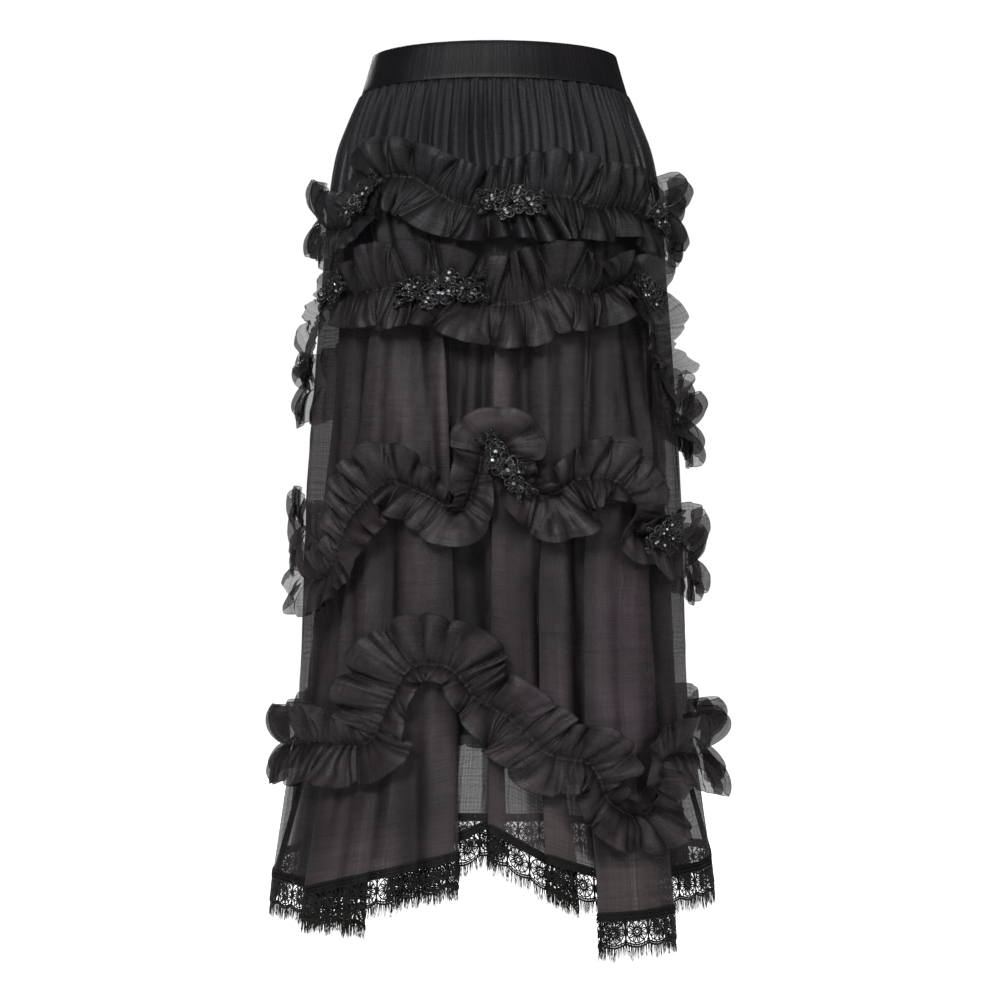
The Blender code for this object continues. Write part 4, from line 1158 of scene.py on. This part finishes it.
def repeatTree():
    # one flat thing repeated along the cloth
    inputs = common + [
        ("Thing", "NodeSocketObject"), ("Count", "NodeSocketInt"), ("Pitch", "NodeSocketFloat"),
        ("Start", "NodeSocketFloat"), ("Down", "NodeSocketFloat"), ("Scallop", "NodeSocketFloat"),
        ("Scallop pitch", "NodeSocketFloat"), ("Swing", "NodeSocketFloat"), ("Clump", "NodeSocketFloat"),
        ("Uneven", "NodeSocketFloat"), ("Seed", "NodeSocketInt"),
    ]
    tree, start, end = newGroup("repeatedOnCloth", "GeometryNodeTree", inputs, [("Geometry", "NodeSocketGeometry")])
    take = start.outputs
    first = addNode(tree, "ShaderNodeCombineXYZ", {0: take["Start"], 1: take["Down"]}).outputs[0]
    step = addNode(tree, "ShaderNodeCombineXYZ", {0: take["Pitch"]}).outputs[0]
    inputs = {"Count": take["Count"], "Start Location": first, "Offset": step}
    line = addNode(tree, "GeometryNodeMeshLine", inputs).outputs[0]
    here = addNode(tree, "GeometryNodeInputPosition").outputs[0]
    along = addNode(tree, "ShaderNodeSeparateXYZ", {0: here}).outputs[0]
    wave = doMath(tree, "MULTIPLY", doMath(tree, "DIVIDE", along, take["Scallop pitch"]), np.pi)
    wave = doMath(tree, "ABSOLUTE", doMath(tree, "SINE", wave))
    dip = doMath(tree, "MULTIPLY", wave, doMath(tree, "MULTIPLY", take["Scallop"], -1.0))
    shift = randomBetween(tree, take["Seed"], -0.5, 0.5)
    jitter = doMath(tree, "MULTIPLY", shift, doMath(tree, "MULTIPLY", take["Pitch"], take["Uneven"]))
    offset = addNode(tree, "ShaderNodeCombineXYZ", {0: jitter, 1: dip}).outputs[0]
    line = addNode(tree, "GeometryNodeSetPosition", {"Geometry": line, "Offset": offset}).outputs[0]
    lean = randomBetween(tree, doMath(tree, "ADD", take["Seed"], 7.0), -1.0, 1.0)
    inputs = {"W": along, "Scale": 110.0, "Detail": 1.0}
    clumps = addNode(tree, "ShaderNodeTexNoise", inputs, noise_dimensions="1D").outputs[0]
    clumpLean = doMath(tree, "MULTIPLY", doMath(tree, "SUBTRACT", clumps, 0.5), take["Clump"])
    turned = doMath(tree, "ADD", doMath(tree, "MULTIPLY", lean, take["Swing"]), clumpLean)
    turn = addNode(tree, "ShaderNodeCombineXYZ", {2: turned}).outputs[0]
    size = randomBetween(tree, doMath(tree, "ADD", take["Seed"], 3.0), -1.0, 1.0)
    longer = doMath(tree, "MULTIPLY", size, doMath(tree, "MULTIPLY", take["Uneven"], 0.3))
    longer = doMath(tree, "ADD", 1.0, longer)
    scale = addNode(tree, "ShaderNodeCombineXYZ", {0: 1.0, 1: longer, 2: 1.0}).outputs[0]
    thing = addNode(tree, "GeometryNodeObjectInfo", {"Object": take["Thing"]}).outputs["Geometry"]
    inputs = {"Points": line, "Instance": thing, "Rotation": turn, "Scale": scale}
    copies = addNode(tree, "GeometryNodeInstanceOnPoints", inputs)
    return finishTree(tree, start, end, copies.outputs[0])


def scatterTree():
    # beads strewn over flat plates
    inputs = common + [
        ("Plates", "NodeSocketObject"), ("Spacing", "NodeSocketFloat"), ("Density", "NodeSocketFloat"),
        ("Bead", "NodeSocketFloat"), ("Seed", "NodeSocketInt"),
    ]
    tree, start, end = newGroup("scatteredOnCloth", "GeometryNodeTree", inputs, [("Geometry", "NodeSocketGeometry")])
    take = start.outputs
    plates = addNode(tree, "GeometryNodeObjectInfo", {"Object": take["Plates"]}).outputs["Geometry"]
    inputs = {"Mesh": plates, "Distance Min": take["Spacing"], "Density Max": take["Density"], "Seed": take["Seed"]}
    spots = addNode(tree, "GeometryNodeDistributePointsOnFaces", inputs, distribute_method="POISSON")
    bead = addNode(tree, "GeometryNodeMeshIcoSphere", {"Radius": take["Bead"], "Subdivisions": 2}).outputs[0]
    size = randomBetween(tree, take["Seed"], 0.55, 1.25)
    inputs = {"Points": spots.outputs[0], "Instance": bead, "Scale": size}
    copies = addNode(tree, "GeometryNodeInstanceOnPoints", inputs)
    return finishTree(tree, start, end, copies.outputs[0])


trees = {"laid": laidTree(), "repeat": repeatTree(), "scatter": scatterTree()}


def grown(name, tree, values):
    # runs a tree on an empty object and keeps the result as a plain mesh
    host = bpy.data.objects.new("host", bpy.data.meshes.new("host"))
    bpy.context.scene.collection.objects.link(host)
    modifier = host.modifiers.new("tree", "NODES")
    modifier.node_group = trees[tree]
    identifiers = {
        item.name: item.identifier for item in trees[tree].interface.items_tree
        if item.item_type == "SOCKET" and item.in_out == "INPUT"
    }
    for title, value in values.items():
        modifier[identifiers[title]] = value
    bpy.context.view_layer.update()
    mesh = bpy.data.meshes.new_from_object(host.evaluated_get(bpy.context.evaluated_depsgraph_get()))
    bpy.data.objects.remove(host, do_unlink=True)
    mesh.name = name
    mesh.polygons.foreach_set("material_index", np.zeros(len(mesh.polygons), np.int32))
    return mesh


def held(thing):
    # a flat pattern has to be in the scene while a tree reads it
    bpy.context.scene.collection.objects.link(thing)
    return thing


def dropped(*things):
    for thing in things:
        bpy.data.objects.remove(thing, do_unlink=True)


# lace along the hem, and the fringe below it

laceLook = {
    "pitch": 0.0245,
    "drop": 0.034,
    "header": 0.0072,
    "daisy": (0.0122, -0.0186),
    "petals": 11,
    "petalFrom": 0.0028,
    "petalTo": 0.0096,
    "cord": 0.00092,
    "scallop": 0.0034,
    "fringe": 0.0128,
    "strandPitch": 0.00145,
}


def arc(centre, radius, first, last, count):
    angles = np.radians(np.linspace(first, last, count))
    return np.stack([centre[0] + radius * np.cos(angles), centre[1] + radius * np.sin(angles), 0 * angles], 1)


def petalLoop(centre, angle, first, last, width, count=8):
    share = np.linspace(0, 2 * np.pi, count, endpoint=False)
    along = first + (last - first) * (0.5 - 0.5 * np.cos(share))
    beside = width * np.sin(share) * (0.35 + 0.65 * (0.5 - 0.5 * np.cos(share)))
    c, s = np.cos(angle), np.sin(angle)
    return np.stack([centre[0] + along * c - beside * s, centre[1] + along * s + beside * c, 0 * share], 1)


def laceRepeat():
    look, pile = laceLook, Pile()
    pitch, cord, header = look["pitch"], look["cord"], look["header"]
    centre = look["daisy"]
    across = np.linspace(0, pitch, 9)
    strip = [(x, y, 0) for y in (0.0016, -header * 0.5, -header + 0.0002) for x in across]
    pile.add(strip, [(r * 9 + k, r * 9 + 9 + k, r * 9 + 10 + k, r * 9 + k + 1) for r in range(2) for k in range(8)])
    for y in (-0.0007, -header * 0.5, -header):
        pile.cord(np.stack([across, y + 0 * across, 0.0004 + 0 * across], 1), cord)
    steps = np.linspace(0, pitch, 17)
    zigzag = -header * 0.5 + 0.0020 * np.where(np.arange(17) % 2, 1, -1)
    pile.cord(np.stack([steps, zigzag, 0.0007 + 0 * steps], 1), cord * 0.8)
    pile.cord(arc(centre, 0.0019, 0, 324, 9), cord * 1.1, closed=True)
    pile.cord(arc(centre, 0.0106, 0, 345, 22), cord * 0.9, closed=True)
    for k in range(look["petals"]):
        angle = 2 * np.pi * (k + 0.5) / look["petals"]
        pile.cord(petalLoop(centre, angle, look["petalFrom"], look["petalTo"], 0.00150), cord * 0.92, closed=True)
    for shift, thick in ((0.0, 1.2), (0.0024, 1.0)):
        edge = -look["drop"] + shift + look["scallop"] * (1 - np.abs(np.sin(np.pi * across / pitch)))
        pile.cord(np.stack([across, edge + 0.0006, 0 * across], 1), cord * thick)
    edge = -look["drop"] + 0.0018 + look["scallop"] * (1 - np.abs(np.sin(np.pi * steps / pitch)))
    zigzag = edge + 0.0010 * np.where(np.arange(17) % 2, 1, -1)
    pile.cord(np.stack([steps, zigzag, 0 * steps + 0.0003], 1), cord * 0.8)
    for x in (0.0, pitch):
        turn = 1 if x == 0 else -1
        for y in (-0.0085, -0.0145, -0.0200, -0.0255):
            bar = [(x, y, 0), (x + turn * 0.0012, y - 0.0016, 0), (x + turn * 0.0020, y - 0.0004, 0)]
            pile.cord(bar, cord * 0.8)
        pile.cord([(x + turn * 0.0002, -header, 0), (x + turn * 0.0005, -0.0180, 0), (x, -0.0290, 0)], cord)
    for x in np.linspace(0.1, 0.9, 6) * pitch:
        pile.cord([(x, -header, 0), (x, -header - 0.0016, 0)], cord * 0.8)
    for x in np.linspace(0.2, 0.8, 4) * pitch:
        foot = -look["drop"] + 0.0030 + look["scallop"] * (1 - np.sin(np.pi * x / pitch))
        reach = centre[1] - np.sqrt(max(0.0106**2 - (x - centre[0]) ** 2, 0))
        pile.cord([(x, foot, 0), (x, max(reach, foot + 0.0008), 0)], cord * 0.8)
    return held(pile.asObject("laceRepeat"))


def fringeStrand():
    pile, length = Pile(), laceLook["fringe"]
    for shift, lean in ((-0.00025, -0.0006), (0.00025, 0.0005)):
        ys = np.linspace(0.0006, -length, 5)
        sway = lean * np.linspace(0, 1, 5) ** 1.6
        line = np.stack([shift + sway, ys, 0.0003 * np.sin(ys * 400)], 1)
        pile.cord(line, np.array([0.00034, 0.00034, 0.00030, 0.00025, 0.00010]))
    return held(pile.asObject("fringeStrand"))


repeat, strand = laceRepeat(), fringeStrand()
for half, columns in cutColumns.items():
    edge = belowHem(columns, [0])[0]
    across = stepLengths(edge)
    drops = np.linspace(-0.003, 0.060, 22)
    mesh = sheetMesh("hemBand", belowHem(columns, drops), across, -drops[:, None])
    band = held(bpy.data.objects.new("hemBand", mesh))
    count = round(across[-1] / laceLook["pitch"])
    pitch = across[-1] / count * 0.99999
    repeatLook = {"Cloth": band, "Seed": 5 + (half == "back"), "Scallop pitch": pitch}
    mesh = grown(f"lace_{half}_cords", "repeat", repeatLook | {
        "Finish": finishes["lace"], "Lift": 0.0007, "Thing": repeat, "Count": count,
        "Pitch": pitch, "Start": 0.000002, "Down": -0.0003,
    })
    pieceFrom(mesh.name, mesh, finishes["lace"], [f"lace_{half}"])
    strands = int(across[-1] / laceLook["strandPitch"]) - 1
    mesh = grown(f"fringe_{half}_threads", "repeat", repeatLook | {
        "Finish": finishes["fringe"], "Lift": 0.0004, "Thing": strand, "Count": strands,
        "Pitch": laceLook["strandPitch"], "Start": 0.0006, "Down": -(laceLook["drop"] - laceLook["scallop"]) - 0.0002,
        "Scallop": laceLook["scallop"], "Swing": 0.13, "Clump": 0.7, "Uneven": 0.7,
    })
    pieceFrom(mesh.name, mesh, finishes["fringe"], [f"fringe_{half}"])
    dropped(band)
dropped(repeat, strand)
print("lace and fringe made")


# corded flowers with beads and stones

flowers = [
    Flower(-42, 0.142, 0.056, 0.032, 50, 1, 3),
    Flower(5, 0.152, 0.064, 0.042, 0, 2, 16),
    Flower(-54, 0.232, 0.044, 0.030, 30, 3, 3),
    Flower(-15, 0.238, 0.084, 0.046, 5, 4, 11),
    Flower(50, 0.236, 0.044, 0.032, -40, 5, 4),
    Flower(3, 0.410, 0.070, 0.032, -58, 6, 6),
    Flower(49, 0.478, 0.058, 0.044, 10, 7, 7),
    Flower(58, 0.160, 0.036, 0.028, -30, 8, 4),
]
flowerLook = {
    "cord": 0.00085,
    "bead": 0.00105,
    "spacing": 0.00235,
    "stone": 0.0017,
    "rosettePetals": 6,
    "clear": 0.0026,
    "apart": 0.25,          # between flowers on the flat layout
}


def addStone(pile, centre, radius):
    # a cut stone: a ring of eight corners and a smaller table, turned by half a side
    x, y = centre[:2]
    angles = np.linspace(0, 2 * np.pi, 8, endpoint=False)
    ring = [(x + radius * np.cos(a), y + radius * np.sin(a), 0.0002) for a in angles]
    half = 0.5 * radius
    table = [(x + half * np.cos(a + 0.39), y + half * np.sin(a + 0.39), radius * 0.75) for a in angles]
    faces = [(k, (k + 1) % 8, 8 + k) for k in range(8)]
    faces += [((k + 1) % 8, 8 + (k + 1) % 8, 8 + k) for k in range(8)]
    pile.add(ring + table, faces + [tuple(range(8, 16)), tuple(range(8))[::-1]])


def drawFlower(flower, offset, cords, plates, stones):
    rng = np.random.default_rng(flower.seed)
    tilt = np.radians(flower.tilt)
    wide, high = flower.width / 2, flower.height / 2

    def turned(points):
        points = np.asarray(points, float)
        x = points[:, 0] * np.cos(tilt) - points[:, 1] * np.sin(tilt)
        y = points[:, 0] * np.sin(tilt) + points[:, 1] * np.cos(tilt)
        return np.stack([x + offset, y, points[:, 2]], 1)

    def pad(loop, thick):
        # a low dark cushion inside a loop of cord
        loop = turned(loop)
        centre, last = loop.mean(0), len(loop)
        points = [*(loop + [0, 0, 0.0004]), centre + [0, 0, thick], centre - [0, 0, 0.0002]]
        faces = [(k, (k + 1) % last, last) for k in range(last)]
        cords.add(points, faces + [((k + 1) % last, k, last + 1) for k in range(last)])

    # each bloom's middle and radius
    blooms = [
        (0.0, 0.0, high * 0.80),
        (-wide * 0.58, high * 0.12, high * 0.58),
        (wide * 0.56, -high * 0.10, high * 0.62),
        (-wide * 0.22, -high * 0.55, high * 0.36),
        (wide * 0.25, high * 0.58, high * 0.34),
    ]
    for number, (x, y, radius) in enumerate(blooms):
        petals = flowerLook["rosettePetals"] - (number > 2)
        start = rng.uniform(0, 1)
        for k in range(petals):
            angle = 2 * np.pi * (k + start) / petals
            reach = radius * rng.uniform(0.85, 1.1)
            for inner in (1.0, 0.55)[:1 + (number == 0)]:
                far = reach * (0.25 + 0.75 * inner)
                loop = petalLoop((x, y), angle, radius * 0.22, far, radius * 0.44 * inner, 12)
                loop[:, 2] = 0.0006 + 0.0024 * np.sin(np.pi * np.linspace(0, 1, 12)) * inner
                cords.cord(turned(loop), flowerLook["cord"] * (0.7 + 0.3 * inner), sides=4, closed=True)
            plate = petalLoop((x, y), angle, radius * 0.1, reach * 0.9, radius * 0.36, 8)
            plates.add(turned(plate), [tuple(range(8))])
            pad(plate, 0.0013)
        cords.cord(turned(arc((x, y), radius * 0.20, 0, 320, 9)), flowerLook["cord"], closed=True)
    for side in (-1, 1):
        for lean in (-0.5, 0.1, 0.6):
            tip = np.array([side * wide * 1.0, high * lean * 0.9])
            root = np.array([side * wide * 0.55, high * lean * 0.3])
            share = np.linspace(0, 1, 9)[:, None]
            stem = root * (1 - share) + tip * share + np.array([0, 1]) * 0.12 * high * np.sin(np.pi * share)
            cords.cord(turned(np.concatenate([stem, 0.0006 + 0 * share], 1)), flowerLook["cord"])
            direction = np.arctan2(*(tip - root)[::-1])
            leaf = petalLoop(tuple((root + tip) / 2), direction, 0, np.linalg.norm(tip - root) * 0.62, high * 0.16, 8)
            cords.cord(turned(leaf), flowerLook["cord"], closed=True)
            plates.add(turned(leaf), [tuple(range(8))])
            pad(leaf, 0.0010)
    for k in range(flower.stones):
        x, y, radius = blooms[k % len(blooms)]
        spot = turned([(x + rng.uniform(-0.5, 0.5) * radius, y + rng.uniform(-0.5, 0.5) * radius, 0)])[0]
        addStone(stones, spot, flowerLook["stone"] * rng.uniform(0.7, 1.15))


underFlowers = Reach([*skirtGrids.values(), *[grid for grid, even, across in ruffles.values()]], 1, 1)
cords, plates, stones = Pile(), Pile(), Pile()
groundPoints, groundFaces, groundFlat = [], [], []
for flower in flowers:
    offset = flower.seed * flowerLook["apart"]
    drawFlower(flower, offset, cords, plates, stones)
    x, y = np.meshgrid(np.linspace(-0.055, 0.055, 34), np.linspace(0.050, -0.050, 30))
    turn = flower.turn + np.degrees(x / form["rollRadius"])
    drop = flower.drop - y
    rest = underFlowers.at(turn, drop)
    for _ in range(2):
        rest = blurred(blurred(rest, 3).T, 3).T
    points = place(turn, drop, rest + flowerLook["clear"])
    groundFaces += (gridFaces(*x.shape) + len(groundPoints)).tolist()
    groundPoints += points.reshape(-1, 3).tolist()
    groundFlat += np.stack([x + offset, y], -1).reshape(-1, 2).tolist()
groundMesh = bpy.data.meshes.new("flowerGround")
groundMesh.from_pydata(groundPoints, [], groundFaces)
layer = groundMesh.uv_layers.new(name="cloth")
corners = np.array(groundFaces).ravel()
layer.data.foreach_set("uv", np.array(groundFlat, np.float32)[corners].ravel())
groundMesh.shade_smooth()
ground = held(bpy.data.objects.new("flowerGround", groundMesh))
flatCords, flatPlates = held(cords.asObject("flatCords")), held(plates.asObject("flatPlates"))
flatStones = held(stones.asObject("flatStones"))
appliques = [f"applique_{number}" for number in range(1, len(flowers) + 1)]
mesh = grown("flowerCords", "laid", {"Cloth": ground, "Lift": 0.0, "Finish": finishes["cord"], "Thing": flatCords})
pieceFrom("flowerCords", mesh, finishes["cord"], appliques)
mesh = grown("flowerBeads", "scatter", {
    "Cloth": ground, "Lift": 0.0008, "Finish": finishes["bead"], "Plates": flatPlates,
    "Spacing": flowerLook["spacing"], "Density": 900000.0, "Bead": flowerLook["bead"], "Seed": 4,
})
pieceFrom("flowerBeads", mesh, finishes["bead"], ())
mesh = grown("flowerStones", "laid", {
    "Cloth": ground, "Lift": 0.0026, "Finish": finishes["stone"], "Thing": flatStones,
})
mesh.shade_flat()
pieceFrom("flowerStones", mesh, finishes["stone"], ())
dropped(ground, flatCords, flatPlates, flatStones)
print("flowers made")


# gathering threads down the middle of each ruffle

threadLook = {"pitch": 0.0042, "length": 0.0026, "radius": 0.00035}
pile = Pile()
share = np.linspace(-0.5, 0.5, 5)
stitchLine = np.stack([share * threadLook["length"], 0 * share, 0.0004 * np.cos(np.pi * share)], 1)
pile.cord(stitchLine, threadLook["radius"], sides=4)
stitch = held(pile.asObject("stitch"))
for name, (grid, even, across) in ruffles.items():
    mesh = grown(name + "_stitches", "repeat", {
        "Cloth": pieces[name], "Lift": 0.0003, "Finish": finishes["thread"], "Thing": stitch,
        "Count": int(even[-1] / threadLook["pitch"]) - 1, "Pitch": threadLook["pitch"], "Start": 0.003,
        "Scallop pitch": 1.0, "Swing": 0.12, "Uneven": 0.2, "Seed": 3,
    })
    pieceFrom(mesh.name, mesh, finishes["thread"], ())
dropped(stitch)
print("stitches made")


# floor, light and camera

stage = {
    "floorLevel": -1.02,
    "seenWhite": 1.02,
    "ambient": 0.06,
    "floorAmbient": 0.05,
    "lens": 79.2,
    "camera": (0.0058, -2.31, -0.443),
}
Light = namedtuple("Light", "name spot target size watts")
lights = [
    Light("key", (-0.8, -2.7, 1.1), (0, 0, -0.45), 0.8, 64.0),
    Light("fill", (1.7, -2.2, 0.4), (0, 0, -0.5), 0.9, 15.0),
    Light("top", (0.2, 0.1, 2.4), (0, 0, -0.4), 1.0, 15.0),
    Light("behind", (-0.6, 2.4, 1.3), (0, 0, -0.45), 1.2, 46.0),
]


def seenStrength(tree, seen, otherwise):
    # one strength for what the camera sees, another for the light it gives
    path = addNode(tree, "ShaderNodeLightPath").outputs["Is Camera Ray"]
    return spread(tree, path, 0.0, 1.0, otherwise, seen)


floorMesh = bpy.data.meshes.new("floor")
reach, level = 14.0, stage["floorLevel"]
corners = [(-reach, -reach, level), (reach, -reach, level), (reach, reach, level), (-reach, reach, level)]
floorMesh.from_pydata(corners, [], [(0, 1, 2, 3)])
floor = bpy.data.objects.new("floor", floorMesh)
bpy.context.scene.collection.objects.link(floor)
floorMaterial, floorTree, floorShader = newMaterial("paleFloor", {"Base Color": (0.8, 0.8, 0.8, 1), "Roughness": 0.9})
floorShader.inputs["Emission Color"].default_value = (1, 1, 1, 1)
floorStrength = seenStrength(floorTree, stage["seenWhite"], stage["floorAmbient"])
floorTree.links.new(floorStrength, floorShader.inputs["Emission Strength"])
floorMesh.materials.append(floorMaterial)

world = bpy.data.worlds.new("studio")
bpy.context.scene.world = world
world.use_nodes = True
background = world.node_tree.nodes["Background"]
background.inputs["Color"].default_value = (1, 1, 1, 1)
worldStrength = seenStrength(world.node_tree, stage["seenWhite"], stage["ambient"])
world.node_tree.links.new(worldStrength, background.inputs["Strength"])
for light in lights:
    lamp = bpy.data.lights.new(light.name, "AREA")
    lamp.energy, lamp.size = light.watts, light.size
    holder = bpy.data.objects.new(light.name, lamp)
    holder.location = light.spot
    aim = Vector(light.target) - Vector(light.spot)
    holder.rotation_euler = aim.to_track_quat("-Z", "Y").to_euler()
    bpy.context.scene.collection.objects.link(holder)

cameraData = bpy.data.cameras.new("camera")
cameraData.lens, cameraData.sensor_width = stage["lens"], 36.0
camera = bpy.data.objects.new("camera", cameraData)
camera.location = stage["camera"]
camera.rotation_euler = (np.pi / 2, 0, 0)
bpy.context.scene.collection.objects.link(camera)
bpy.context.scene.camera = camera
bpy.context.scene.view_settings.view_transform = "Standard"
